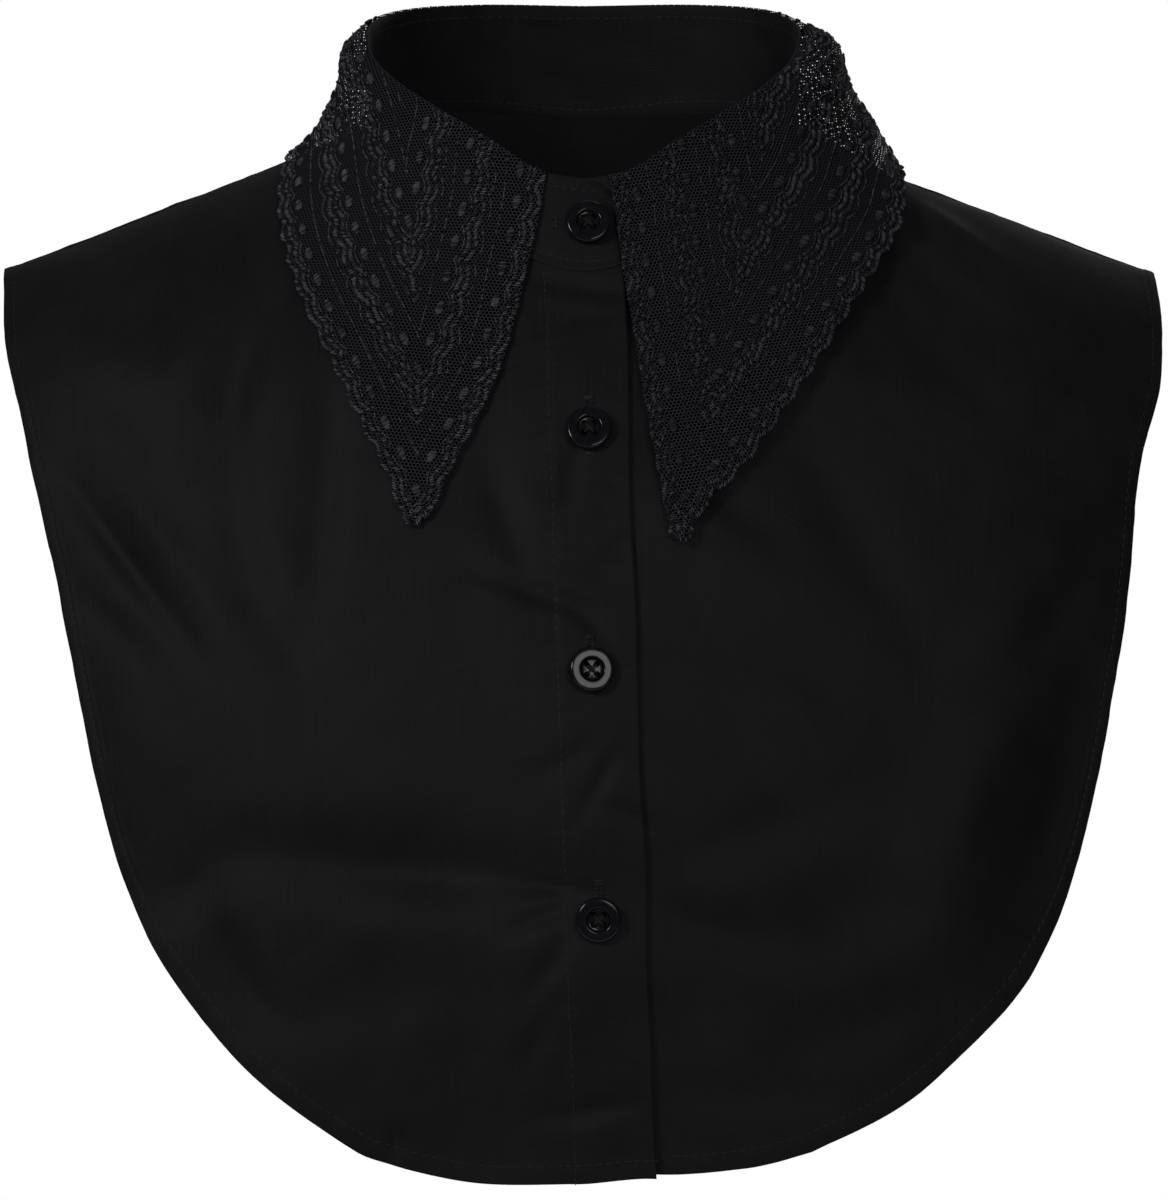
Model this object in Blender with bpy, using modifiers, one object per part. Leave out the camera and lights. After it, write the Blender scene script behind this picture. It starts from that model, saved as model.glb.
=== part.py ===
"""A detachable shirt front in black cotton with a long pointed collar of black lace.

It is buttoned up and filled out as it is worn. The origin is the middle of the neck, at the height where
the stand crosses the shoulders. The wearer's front looks along -Y, and +Z is up. Every piece is a thin wall
of cloth that lies on one general figure. A place on that figure is given in two ways: as x and the height z,
or as x and the way down the cloth from the shoulder line, which is negative in front and positive behind.
"""

import math

import bmesh
import bpy
from mathutils import Matrix, Vector
from mathutils.bvhtree import BVHTree

# Sizes in metres
CLOTH = 0.0012
LACE = 0.0010
SEAM_GAP = 0.0003
STAND_WALL = 0.0012
STAND_LIFT = 0.0006
STAND_END_DROP = 0.011
LAP = CLOTH + 0.0005
NECK_HALF_WIDTH = 0.066
NECK_FRONT = 0.0667
NECK_BACK = 0.055
NECK_CROWN = 0.022
FOLD_HALF_WIDTH = 0.0682
FOLD_FRONT = 0.058
FOLD_BACK = 0.050
HALF_BREADTH = 0.20
PLAN_POWER = 2.4
FRONT_TURN, BACK_TURN, ARM_TURN = 0.075, 0.025, 0.045
ARM_START, ARM_END = 0.060, 0.170
DROP_START, DROP_END = 0.060, 0.105
LAP_START, LAP_END = 0.040, 0.012
BUTTON_RADIUS = 0.0068
BUTTON_THICKNESS = 0.0028
BUTTON_HOLE_RADIUS = 0.00095
BUTTON_HOLE_SPREAD = 0.0015
SCALLOPS = 20
SCALLOP_DEPTH = 0.0013
COLLAR_CLEARANCE = 0.0010
COLLAR_REACH = 0.010

# Wearer's right is -X. The shoulder line falls by this slope, from this much below the origin.
RIGHT, LEFT = -1, 1
SHOULDER_SLOPE = {RIGHT: 0.384, LEFT: 0.363}
SHOULDER_DROP = {RIGHT: 0.0020, LEFT: 0.0065}

# Depth of the general figure from the origin's plane, by height
#               height   depth
FRONT_PROFILE = (
    (-0.340, 0.121),
    (-0.250, 0.122),
    (-0.190, 0.117),
    (-0.140, 0.106),
    (-0.090, 0.088),
    (-0.045, 0.067),
    (0.000, 0.056),
    (0.050, 0.051),
)
BACK_PROFILE = (
    (-0.340, 0.088),
    (-0.240, 0.095),
    (-0.170, 0.097),
    (-0.110, 0.092),
    (-0.060, 0.081),
    (-0.020, 0.066),
    (0.005, 0.055),
    (0.050, 0.051),
)

# Cut edges from the middle of the hem to the shoulder tip
#               across   height
FRONT_RIGHT_EDGE = (
    (-0.0212, -0.3143),
    (0.0030, -0.3159),
    (0.0313, -0.3160),
    (0.0560, -0.3114),
    (0.0784, -0.3008),
    (0.1021, -0.2825),
    (0.1220, -0.2590),
    (0.1345, -0.2385),
    (0.1436, -0.2132),
    (0.1526, -0.1747),
    (0.1634, -0.1276),
    (0.1725, -0.0914),
    (0.1796, -0.0638),
    (0.1827, -0.0465),
)
FRONT_LEFT_EDGE = (
    (-0.0100, -0.3120),
    (0.0218, -0.3134),
    (0.0463, -0.3120),
    (0.0648, -0.3079),
    (0.0893, -0.2972),
    (0.1137, -0.2784),
    (0.1312, -0.2605),
    (0.1417, -0.2422),
    (0.1502, -0.2195),
    (0.1585, -0.1838),
    (0.1657, -0.1399),
    (0.1693, -0.1058),
    (0.1777, -0.0739),
    (0.1787, -0.0482),
)
BACK_EDGE = (
    (0.0000, -0.2680),
    (0.0450, -0.2650),
    (0.0850, -0.2510),
    (0.1180, -0.2250),
    (0.1390, -0.1900),
    (0.1500, -0.1500),
    (0.1600, -0.1100),
    (0.1740, -0.0720),
    (0.1810, -0.0450),
)
FRONT_NECK_ANGLE = {RIGHT: -9.8, LEFT: -7.5}
FRONT_LAP_ANGLE = 9.6

# Fold at the top of the stand, by the angle from the middle of the front
#               angle    height
FOLD_HEIGHT = (
    (0, -0.0170),
    (12, -0.0140),
    (25, -0.0045),
    (40, 0.0045),
    (55, 0.0120),
    (75, 0.0215),
    (90, 0.0290),
    (120, 0.0360),
    (150, 0.0388),
    (180, 0.0386),
)

# Sections of the lace collar: where each leaves the fold, and where it ends in front (side 1: front, -1: behind)
#               angle    across   height   side
RIGHT_LEAF = (
    (9.5, 0.0458, -0.1192, 1),
    (10.1, 0.0502, -0.1222, 1),
    (10.8, 0.0548, -0.1202, 1),
    (16, 0.0588, -0.1090, 1),
    (24, 0.0637, -0.0995, 1),
    (40, 0.0752, -0.0772, 1),
    (57, 0.0880, -0.0520, 1),
    (74, 0.0945, -0.0290, 1),
    (90, 0.0925, -0.0125, 1),
    (108, 0.0890, -0.0240, -1),
    (130, 0.0765, -0.0350, -1),
    (155, 0.0430, -0.0410, -1),
    (180, 0.0000, -0.0420, -1),
)
LEFT_LEAF = (
    (5.8, 0.0247, -0.1240, 1),
    (6.3, 0.0280, -0.1280, 1),
    (7.0, 0.0318, -0.1256, 1),
    (11, 0.0365, -0.1166, 1),
    (22, 0.0485, -0.1042, 1),
    (39, 0.0690, -0.0763, 1),
    (57, 0.0868, -0.0498, 1),
    (74, 0.0970, -0.0325, 1),
    (90, 0.0985, -0.0190, 1),
    (108, 0.0950, -0.0290, -1),
    (130, 0.0805, -0.0370, -1),
    (155, 0.0430, -0.0410, -1),
    (180, 0.0000, -0.0420, -1),
)

# How far each leaf's front edge swells towards the middle of the front, by the share of its length from the fold
#               share    swell
RIGHT_SWELL = (
    (0.00, 0.0000),
    (0.35, 0.0003),
    (0.50, 0.0017),
    (0.65, 0.0028),
    (0.80, 0.0014),
    (0.90, 0.0000),
    (1.00, 0.0000),
)
LEFT_SWELL = (
    (0.00, 0.0000),
    (0.10, -0.0006),
    (0.30, -0.0012),
    (0.50, -0.0015),
    (0.70, -0.0009),
    (0.85, -0.0005),
    (1.00, 0.0000),
)
SWELL_REACH = 0.15

# How closely each leaf bends round the stand: the share of the way to its outer edge, how far it stands up, and
# how far its fold rolls out over the stand
#               angle  share  lift    roll
RIGHT_HUG = (
    (0, 0.15, 0.0000, 0.0000),
    (35, 0.15, 0.0000, 0.0000),
    (65, 0.40, 0.0000, 0.0020),
    (90, 0.57, 0.0008, 0.0040),
    (120, 0.45, 0.0000, 0.0020),
    (150, 0.20, 0.0000, 0.0000),
    (180, 0.15, 0.0000, 0.0000),
)
LEFT_HUG = (
    (0, 0.15, 0.0000, 0.0000),
    (35, 0.15, 0.0000, 0.0000),
    (65, 0.50, 0.0060, 0.0030),
    (90, 0.75, 0.0135, 0.0072),
    (120, 0.55, 0.0060, 0.0030),
    (150, 0.20, 0.0000, 0.0000),
    (180, 0.15, 0.0000, 0.0000),
)
ROLL_AT = 0.08

# Largest soft creases: where each lies, which way it runs, how long, wide and deep it is
#               x        z        angle    length   width    depth
FRONT_CREASES = (
    (-0.146, -0.106, -62, 0.085, 0.012, 0.0022),
    (0.130, -0.060, -38, 0.110, 0.014, 0.0018),
    (0.132, -0.190, -68, 0.120, 0.018, 0.0022),
    (-0.060, -0.224, 4, 0.130, 0.016, 0.0016),
    (0.085, -0.236, 8, 0.100, 0.014, 0.0014),
)
BACK_CREASES = (
    (-0.105, -0.080, -48, 0.100, 0.014, 0.0018),
    (0.100, -0.075, 52, 0.110, 0.015, 0.0020),
    (0.020, -0.170, 5, 0.140, 0.018, 0.0016),
)

# Buttons: where their middles lie
#               x        z        turned sideways by
BUTTONS = (
    (0.0012, -0.0934, 0),
    (0.0018, -0.1637, 9),
    (0.0040, -0.2367, 0),
)
STAND_BUTTON_ANGLE = -0.85
STAND_BUTTON_HEIGHT = 0.475

# How fine the walls are
FRONT_COLUMNS, PANEL_ROWS, BACK_COLUMNS = 26, 12, 36
STAND_COLUMNS, STAND_ROWS = 52, 3
LEAF_ROWS, COLUMNS_A_SCALLOP = 9, 3
BUTTON_STEPS = 20
HOLE_SIDES = 8


def clear_scene():
    for thing in list(bpy.data.objects):
        bpy.data.objects.remove(thing, do_unlink=True)


def new_collection(name, hidden=False):
    collection = bpy.data.collections.new(name)
    collection.hide_render = hidden
    bpy.context.scene.collection.children.link(collection)
    return collection


def plain_material(name, colour, roughness, specular=0.5):
    material = bpy.data.materials.new(name)
    material.use_nodes = True
    surface = material.node_tree.nodes["Principled BSDF"]
    surface.inputs["Base Color"].default_value = (*colour, 1)
    surface.inputs["Roughness"].default_value = roughness
    surface.inputs["Specular IOR Level"].default_value = specular
    return material


def clamp(share):
    return min(max(share, 0.0), 1.0)


def ease(share):
    share = clamp(share)
    return share * share * (3 - 2 * share)


def mix(first, second, share):
    return first + (second - first) * share


def read_curve(rows, at):
    """The values at one place on a smooth curve through the rows, whose first column is the place."""
    last = len(rows) - 1
    low = next((i for i in range(last) if at <= rows[i + 1][0]), last - 1)
    before, start, end, after = (rows[min(max(i, 0), last)] for i in range(low - 1, low + 3))
    width = end[0] - start[0]
    share = clamp((at - start[0]) / width)
    found = []
    for column in range(1, len(start)):
        slope_in = (end[column] - before[column]) / (end[0] - before[0]) * width
        slope_out = (after[column] - start[column]) / (after[0] - start[0]) * width
        square, cube = share**2, share**3
        found.append(
            (2 * cube - 3 * square + 1) * start[column]
            + (cube - 2 * square + share) * slope_in
            + (3 * square - 2 * cube) * end[column]
            + (cube - square) * slope_out
        )
    return found


def by_length(points):
    """The points with a first column added that runs from 0 to 1 with the length of the line through them."""
    reach = [0.0]
    for first, second in zip(points, points[1:]):
        reach.append(reach[-1] + math.dist(first, second))
    return [(length / reach[-1], *point) for length, point in zip(reach, points)]


def shoulder_height(x):
    """The shoulder line's height, and inside the neck that of the crown which the neck seam is cut from."""
    if abs(x) < NECK_HALF_WIDTH:
        return NECK_CROWN * (1 - (x / NECK_HALF_WIDTH) ** 2)
    hand = LEFT if x > 0 else RIGHT
    drop = SHOULDER_DROP[hand] * ease((abs(x) - DROP_START) / (DROP_END - DROP_START))
    return SHOULDER_SLOPE[hand] * (NECK_HALF_WIDTH - abs(x)) - drop


def turn_radius(x, in_front):
    """The radius by which the cloth turns down from the shoulder line."""
    at_neck = FRONT_TURN if in_front else BACK_TURN
    return mix(at_neck, ARM_TURN, ease((abs(x) - ARM_START) / (ARM_END - ARM_START)))


def crease_depth(x, z, in_front):
    depth = 0.0
    for middle_x, middle_z, angle, length, width, deep in FRONT_CREASES if in_front else BACK_CREASES:
        turn = math.radians(angle)
        along = (x - middle_x) * math.cos(turn) + (z - middle_z) * math.sin(turn)
        across = (z - middle_z) * math.cos(turn) - (x - middle_x) * math.sin(turn)
        fade = 1 - ease(abs(along) / (length / 2))
        depth += deep * fade * math.exp(-((across / width) ** 2))
    return depth


def figure(x, down):
    """The point of the figure that lies x across and this far down the cloth from the shoulder line."""
    in_front = down <= 0
    radius = turn_radius(x, in_front)
    turn = min(abs(down) / radius, math.pi / 2)
    z = shoulder_height(x) - radius * (1 - math.cos(turn)) - max(abs(down) - radius * math.pi / 2, 0)
    (depth,) = read_curve(FRONT_PROFILE if in_front else BACK_PROFILE, z)
    plan = (1 - (abs(x) / HALF_BREADTH) ** PLAN_POWER) ** (1 / PLAN_POWER)
    y = depth * plan * math.sin(turn) - crease_depth(x, z, in_front) * math.sin(turn)
    return Vector((x, -y if in_front else y, z))


def outward(x, down):
    """The direction out of the figure at that place."""
    step = 0.0005
    middle = down if abs(down) > step else math.copysign(step, down)
    across = figure(x + step, middle) - figure(x - step, middle)
    along = figure(x, middle + step / 2) - figure(x, middle - step / 2)
    return across.cross(along).normalized()


def down_cloth(x, z, in_front):
    """How far down the cloth from the shoulder line the figure has that height."""
    radius = turn_radius(x, in_front)
    drop = max(shoulder_height(x) - z, 0)
    if drop >= radius:
        distance = radius * (math.pi / 2 - 1) + drop
    else:
        distance = radius * math.acos(1 - drop / radius)
    return -distance if in_front else distance


def neck_place(angle):
    """Where the neck seam lies on the figure, by the angle from the middle of the front."""
    turn = math.radians(angle)
    x = NECK_HALF_WIDTH * math.sin(turn)
    depth = NECK_FRONT if math.cos(turn) > 0 else NECK_BACK
    wanted = abs(depth * math.cos(turn))
    in_front = math.cos(turn) > 0
    near, far = 0.0, 0.12
    for _ in range(40):
        middle = (near + far) / 2
        reached = abs(figure(x, -middle if in_front else middle).y)
        near, far = (middle, far) if reached < wanted else (near, middle)
    return x, -near if in_front else near


def on_figure(x, down, out):
    return figure(x, down) + outward(x, down) * out


def lap_lift(x):
    """How far the wearer's right front stands out where it laps over the left one."""
    return LAP * ease((x + LAP_START) / (LAP_START - LAP_END))


def mesh_object(name, mesh, material, collection):
    thing = bpy.data.objects.new(name, mesh)
    mesh.materials.append(material)
    collection.objects.link(thing)
    return thing


def sheet(name, columns, rows, place, material, collection, wall, outwards_from):
    """A wall of cloth over a grid, whose points place(u, v) gives for u and v from 0 to 1."""
    build = bmesh.new()
    bmesh.ops.create_grid(build, x_segments=columns, y_segments=rows, size=0.5)
    for vertex in build.verts:
        vertex.co = place(clamp(vertex.co.x + 0.5), clamp(vertex.co.y + 0.5))
    build.normal_update()
    facing = sum(
        face.normal.dot(face.calc_center_median() - outwards_from) * face.calc_area() for face in build.faces
    )
    if facing < 0:
        bmesh.ops.reverse_faces(build, faces=build.faces[:])
    mesh = bpy.data.meshes.new(name)
    build.to_mesh(mesh)
    build.free()
    mesh.shade_smooth()
    thing = mesh_object(name, mesh, material, collection)
    solid = thing.modifiers.new("wall", "SOLIDIFY")
    solid.thickness = wall
    solid.offset = 1
    return thing


def closer_at_arm(share):
    """Sets a panel's columns closer together towards the shoulder, where the cloth turns most."""
    return 1 - (1 - share) ** 1.3


def cut_edge(rows, hand, in_front):
    """A panel's cut edge as x and the way down the cloth, by the share of its length from hem to shoulder."""
    tip = (FRONT_RIGHT_EDGE if hand == RIGHT else FRONT_LEFT_EDGE)[-1][0]
    places = []
    for share, across, height in by_length(rows):
        x = hand * across * mix(1, tip / rows[-1][0], ease((share - 0.7) / 0.3))
        places.append((share, x, down_cloth(x, height, in_front)))
    places[-1] = (1.0, hand * tip, 0.0)
    return places


def front_place(hand):
    """A front: u runs from the buttoned edge to the shoulder seam, v from the neck seam to the cut edge."""
    edge = cut_edge(FRONT_RIGHT_EDGE if hand == RIGHT else FRONT_LEFT_EDGE, hand, True)

    def place(u, v):
        share = closer_at_arm(u)
        neck_x, neck_down = neck_place(hand * mix(FRONT_NECK_ANGLE[hand], 90, share))
        edge_x, edge_down = read_curve(edge, share)
        x = mix(neck_x, edge_x, v)
        down = min(mix(neck_down, edge_down, v), -SEAM_GAP / 2)
        return on_figure(x, down, lap_lift(x) if hand == RIGHT else 0.0)

    return place


def back_place(u, v):
    """The back: u runs from the wearer's right shoulder seam round to the left one."""
    share = closer_at_arm(abs(2 * u - 1))
    hand = RIGHT if u < 0.5 else LEFT
    neck_x, neck_down = neck_place(hand * mix(180, 90, share))
    edge_x, edge_down = read_curve(cut_edge(BACK_EDGE, hand, False), share)
    x = mix(neck_x, edge_x, v)
    return on_figure(x, max(mix(neck_down, edge_down, v), SEAM_GAP / 2), 0.0)


def fold_point(angle):
    """The fold at the top of the stand, by the angle from the middle of the front."""
    turn = math.radians(angle)
    (height,) = read_curve(FOLD_HEIGHT, abs(angle) if abs(angle) <= 180 else 360 - abs(angle))
    depth = FOLD_FRONT if math.cos(turn) > 0 else FOLD_BACK
    return Vector((FOLD_HALF_WIDTH * math.sin(turn), -depth * math.cos(turn), height))


def radial(angle):
    """The level direction away from the neck's middle, by the angle from the middle of the front."""
    return Vector((math.sin(math.radians(angle)), -math.cos(math.radians(angle)), 0))


def stand_base(angle):
    x, down = neck_place(angle)
    out = on_figure(x, down, CLOTH + SEAM_GAP)
    return out + Vector((0, 0, STAND_LIFT))


def stand_point(turned, height):
    """The stand's inner face: it starts in front, outside, goes round by the wearer's right and ends inside."""
    angle = -turned
    base = stand_base(angle)
    past = max(-turned, turned - 360, 0) / FRONT_LAP_ANGLE
    top = fold_point(angle) - Vector((0, 0, STAND_END_DROP * past**2))
    share = (turned + FRONT_LAP_ANGLE) / (360 + 2 * FRONT_LAP_ANGLE)
    step_out = mix(0.5, -0.5, share) * (STAND_WALL + 3 * SEAM_GAP) - STAND_WALL / 2
    return base.lerp(top, height) + radial(angle) * step_out


def stand_place(u, v):
    return stand_point(mix(-FRONT_LAP_ANGLE, 360 + FRONT_LAP_ANGLE, u), v)


def collar_place(hand, covered):
    """A leaf of the lace collar: u runs from its front edge to the middle of the back, v from fold to edge."""
    rows = RIGHT_LEAF if hand == RIGHT else LEFT_LEAF
    swells = RIGHT_SWELL if hand == RIGHT else LEFT_SWELL
    on_cloth = [
        (angle, across, down_cloth(hand * across, height, side == 1)) for angle, across, height, side in rows
    ]
    lengths = by_length([tuple(figure(hand * across, down)) for _, across, down in on_cloth])
    sections = [(row[0], *place) for row, place in zip(lengths, on_cloth)]

    def place(u, v):
        angle, across, down = read_curve(sections, u)
        x = hand * across
        wave = SCALLOP_DEPTH * (abs(math.cos(math.pi * SCALLOPS * u)) - 0.5)
        down += math.copysign(wave, down) * clamp(abs(down) / 0.02)
        x += hand * wave * (1 - clamp(abs(down) / 0.05))
        edge = on_figure(x, down, CLOTH + LACE)
        inwards = outward(x, down).cross(Vector((0, 0, 1))).normalized() * hand
        turned = angle if hand == RIGHT else 360 - angle
        start = stand_point(turned, 1) + radial(hand * angle) * (STAND_WALL + SEAM_GAP)
        base_x, base_down = neck_place(hand * angle)
        hugging, lift, roll = read_curve(RIGHT_HUG if hand == RIGHT else LEFT_HUG, angle)
        hug = on_figure(base_x, base_down, 2 * CLOTH).lerp(edge, hugging) + Vector((0, 0, lift))
        point = start * (1 - v) ** 2 + hug * 2 * v * (1 - v) + edge * v**2
        (swell,) = read_curve(swells, v)
        point += inwards * swell * (1 - ease(u / SWELL_REACH))
        point += radial(hand * angle) * roll * v / ROLL_AT * math.exp(1 - v / ROLL_AT)
        for tree, clear in covered:
            spot, normal, _, away = tree.find_nearest(point)
            height = (point - spot).dot(normal)
            beside = math.sqrt(max(away**2 - height**2, 0))
            wanted = mix(SEAM_GAP, clear, clamp(6 * v)) * (1 - ease(beside / COLLAR_REACH))
            point += normal * max(wanted - height, 0) * (beside < COLLAR_REACH)
        return point

    return place


def surface_tree(columns, rows, place):
    """A surface that a point can be set against. Its faces point away from the wearer."""
    points = [place(i / columns, j / rows) for i in range(columns + 1) for j in range(rows + 1)]
    faces = []
    for i in range(columns):
        for j in range(rows):
            first = i * (rows + 1) + j
            faces.append((first, first + rows + 1, first + rows + 2, first + 1))
    return BVHTree.FromPolygons(points, faces)


def covered_surfaces():
    """What the lace collar lies on, and how far off each surface it stays."""

    def panels(u, v):
        x, down = mix(-0.185, 0.185, u), mix(-0.36, 0.30, v)
        return on_figure(x, down, lap_lift(x) if down < 0 else 0.0)

    def stand(u, v):
        return stand_place(u, 1 - v)

    return (
        (surface_tree(72, 96, panels), CLOTH + COLLAR_CLEARANCE),
        (surface_tree(120, 4, stand), STAND_WALL + COLLAR_CLEARANCE),
    )


def button_mesh(name):
    """A turned button: a wide raised rim round a shallow dish, with its middle on the origin's plane."""
    radius, thick = BUTTON_RADIUS, BUTTON_THICKNESS
    profile = (
        (0.0, 0.55 * thick),
        (0.52 * radius, 0.58 * thick),
        (0.62 * radius, 0.92 * thick),
        (0.78 * radius, thick),
        (0.94 * radius, 0.86 * thick),
        (radius, 0.55 * thick),
        (0.93 * radius, 0.22 * thick),
        (0.60 * radius, 0.0),
        (0.0, 0.0),
    )
    build = bmesh.new()
    line = [build.verts.new((x, 0, z)) for x, z in profile]
    edges = [build.edges.new(pair) for pair in zip(line, line[1:])]
    bmesh.ops.spin(
        build,
        geom=line + edges,
        cent=(0, 0, 0),
        axis=(0, 0, 1),
        angle=2 * math.pi,
        steps=BUTTON_STEPS,
        use_merge=True,
    )
    bmesh.ops.remove_doubles(build, verts=build.verts[:], dist=0.00001)
    bmesh.ops.recalc_face_normals(build, faces=build.faces[:])
    mesh = bpy.data.meshes.new(name)
    build.to_mesh(mesh)
    build.free()
    mesh.shade_smooth()
    mesh.set_sharp_from_angle(angle=math.radians(40))
    return mesh


def hole_cutter(collection):
    """Four drills side by side."""
    build = bmesh.new()
    for right in (-1, 1):
        for up in (-1, 1):
            bmesh.ops.create_cone(
                build,
                cap_ends=True,
                segments=HOLE_SIDES,
                radius1=BUTTON_HOLE_RADIUS,
                radius2=BUTTON_HOLE_RADIUS,
                depth=4 * BUTTON_THICKNESS,
                matrix=Matrix.Translation((right * BUTTON_HOLE_SPREAD, up * BUTTON_HOLE_SPREAD, 0)),
            )
    mesh = bpy.data.meshes.new("button_drills")
    build.to_mesh(mesh)
    build.free()
    drills = bpy.data.objects.new("button_drills", mesh)
    drills.hide_render = True
    drills.display_type = "WIRE"
    collection.objects.link(drills)
    return drills


def button(name, spot, normal, turned, material, collection, cutters):
    """A button whose back lies just off the cloth at the spot, facing along the normal."""
    thing = mesh_object(name, button_mesh(name), material, collection)
    facing = Matrix.Rotation(math.radians(turned), 3, "Z") @ Vector(normal)
    turn = facing.to_track_quat("Z", "Y")
    thing.rotation_mode = "QUATERNION"
    thing.rotation_quaternion = turn
    thing.location = spot
    drills = hole_cutter(cutters)
    drills.parent = thing
    holes = thing.modifiers.new("holes", "BOOLEAN")
    holes.object = drills
    holes.operation = "DIFFERENCE"
    holes.solver = "EXACT"
    return thing


def add_buttons(material, collection, cutters):
    base, top = stand_point(STAND_BUTTON_ANGLE, 0), stand_point(STAND_BUTTON_ANGLE, 1)
    normal = Vector((1, 0, 0)).cross(top - base).normalized()
    spot = base.lerp(top, STAND_BUTTON_HEIGHT) + normal * (STAND_WALL + SEAM_GAP)
    button("button_1", spot, normal, 0, material, collection, cutters)
    for number, (x, z, turned) in enumerate(BUTTONS, start=2):
        down = down_cloth(x, z, True)
        normal = outward(x, down)
        tilt_room = 0.6 * BUTTON_RADIUS * math.sin(math.radians(turned))
        spot = on_figure(x, down, LAP + CLOTH + SEAM_GAP + tilt_room)
        button(f"button_{number}", spot, normal, turned, material, collection, cutters)


def main():
    clear_scene()
    garment = new_collection("lace_collar_shirt_front")
    cutters = new_collection("cutters", hidden=True)
    cotton = plain_material("black_cotton", (0.010, 0.010, 0.011), 0.75)
    lace = plain_material("black_lace", (0.014, 0.014, 0.016), 0.6)
    button_black = plain_material("black_polyester_button", (0.008, 0.008, 0.008), 0.18)
    behind, before = Vector((0, -0.02, -0.12)), Vector((0, 0, -0.15))
    for name, hand in (("front_right", RIGHT), ("front_left", LEFT)):
        sheet(name, FRONT_COLUMNS, PANEL_ROWS, front_place(hand), cotton, garment, CLOTH, before)
    sheet("back", BACK_COLUMNS, PANEL_ROWS, back_place, cotton, garment, CLOTH, behind)
    sheet(
        "collar_stand", STAND_COLUMNS, STAND_ROWS, stand_place, cotton, garment, STAND_WALL, Vector((0, 0, 0))
    )
    add_lace_collar(covered_surfaces(), lace, garment)
    add_buttons(button_black, garment, cutters)


def add_lace_collar(covered, material, collection):
    right, left = collar_place(RIGHT, covered), collar_place(LEFT, covered)

    def place(u, v):
        return right(2 * u, v) if u < 0.5 else left(2 - 2 * u, v)

    columns = 2 * SCALLOPS * COLUMNS_A_SCALLOP
    sheet("lace_collar", columns, LEAF_ROWS, place, material, collection, LACE, Vector((0, 0, -0.05)))


main()
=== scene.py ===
# %% [markdown]
# # A black shirt front with a pointed lace collar
# The real garment is a detachable shirt front: two fronts and a back in black cotton poplin, a doubled stand
# round the neck, and a long collar of embroidered tulle that turns down over it. It is filled out as worn.
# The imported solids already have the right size, so every piece here is laid on the same figure as they are.
# Everything is in metres: +Z is up, the wearer's front looks along -Y, and the origin is the neck's middle.

# %% Load the frame
import functools
import math
import random

import bmesh
import bpy
import numpy as np
from mathutils import Matrix, Vector, noise
from mathutils.bvhtree import BVHTree
from mathutils.kdtree import KDTree


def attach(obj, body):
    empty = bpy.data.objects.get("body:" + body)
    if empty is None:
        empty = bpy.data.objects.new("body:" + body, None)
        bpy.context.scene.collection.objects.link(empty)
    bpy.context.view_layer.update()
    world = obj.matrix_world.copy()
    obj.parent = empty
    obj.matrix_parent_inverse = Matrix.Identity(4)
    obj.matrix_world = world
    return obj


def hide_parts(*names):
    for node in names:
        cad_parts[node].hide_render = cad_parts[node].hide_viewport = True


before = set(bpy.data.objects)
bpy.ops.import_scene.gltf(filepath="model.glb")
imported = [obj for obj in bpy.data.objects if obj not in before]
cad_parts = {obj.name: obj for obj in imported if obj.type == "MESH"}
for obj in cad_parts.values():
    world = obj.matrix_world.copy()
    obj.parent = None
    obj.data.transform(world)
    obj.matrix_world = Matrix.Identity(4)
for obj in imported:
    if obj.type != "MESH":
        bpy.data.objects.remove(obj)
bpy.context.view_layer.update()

# %% [markdown]
# ## Camera
# The photo was taken from the front, a little above the collar, with a long lens: the shoulders and the hem show
# almost no perspective. A 180 mm lens, 1.8 m away, looking 4 degrees down gives the same picture.

# %% Camera
CAMERA_TARGET = Vector((0, -0.10, -0.1431))
CAMERA_DISTANCE, CAMERA_TILT = 1.8, math.radians(4)
back_to_camera = Vector((0, -math.cos(CAMERA_TILT), math.sin(CAMERA_TILT)))
lens = bpy.data.cameras.new("camera")
lens.sensor_fit, lens.sensor_height, lens.lens = "VERTICAL", 36, 180
lens.shift_x = -1 / 1200
camera = bpy.data.objects.new("camera", lens)
camera.location = CAMERA_TARGET + CAMERA_DISTANCE * back_to_camera
camera.rotation_euler = back_to_camera.to_track_quat("Z", "Y").to_euler()
bpy.context.scene.collection.objects.link(camera)
bpy.context.scene.camera = camera
bpy.context.scene.view_settings.view_transform = "Standard"
print("camera at", [round(value, 3) for value in camera.location])

# %% [markdown]
# ## The figure under the cloth
# A worn shirt front takes its shape from a chest and shoulders. It could be draped by a simulation, but the solids
# were drawn on one smooth figure, so the same sizes are used again here and nothing can drift from them. A place
# on it is x and the way down the cloth from the shoulder line, negative in front and positive behind.

# %% Sizes of the figure and the cut edges, in metres
CLOTH, LACE, SEAM_GAP = 0.0012, 0.0010, 0.0003
STAND_WALL, STAND_LIFT, STAND_END_DROP = 0.0012, 0.0006, 0.011
LAP = CLOTH + 0.0005
NECK_HALF_WIDTH, NECK_FRONT, NECK_BACK, NECK_CROWN = 0.066, 0.0667, 0.055, 0.022
FOLD_HALF_WIDTH, FOLD_FRONT, FOLD_BACK = 0.0682, 0.058, 0.050
HALF_BREADTH, PLAN_POWER = 0.20, 2.4
FRONT_TURN, BACK_TURN, ARM_TURN = 0.075, 0.025, 0.045
ARM_START, ARM_END, DROP_START, DROP_END = 0.060, 0.170, 0.060, 0.105
LAP_START, LAP_END = 0.040, 0.012
COLLAR_CLEARANCE, COLLAR_REACH = 0.0010, 0.010
RIGHT, LEFT = -1, 1
SHOULDER_SLOPE = {RIGHT: 0.384, LEFT: 0.363}
SHOULDER_DROP = {RIGHT: 0.0020, LEFT: 0.0065}
FRONT_NECK_ANGLE, FRONT_LAP_ANGLE = {RIGHT: -9.8, LEFT: -7.5}, 9.6
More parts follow.
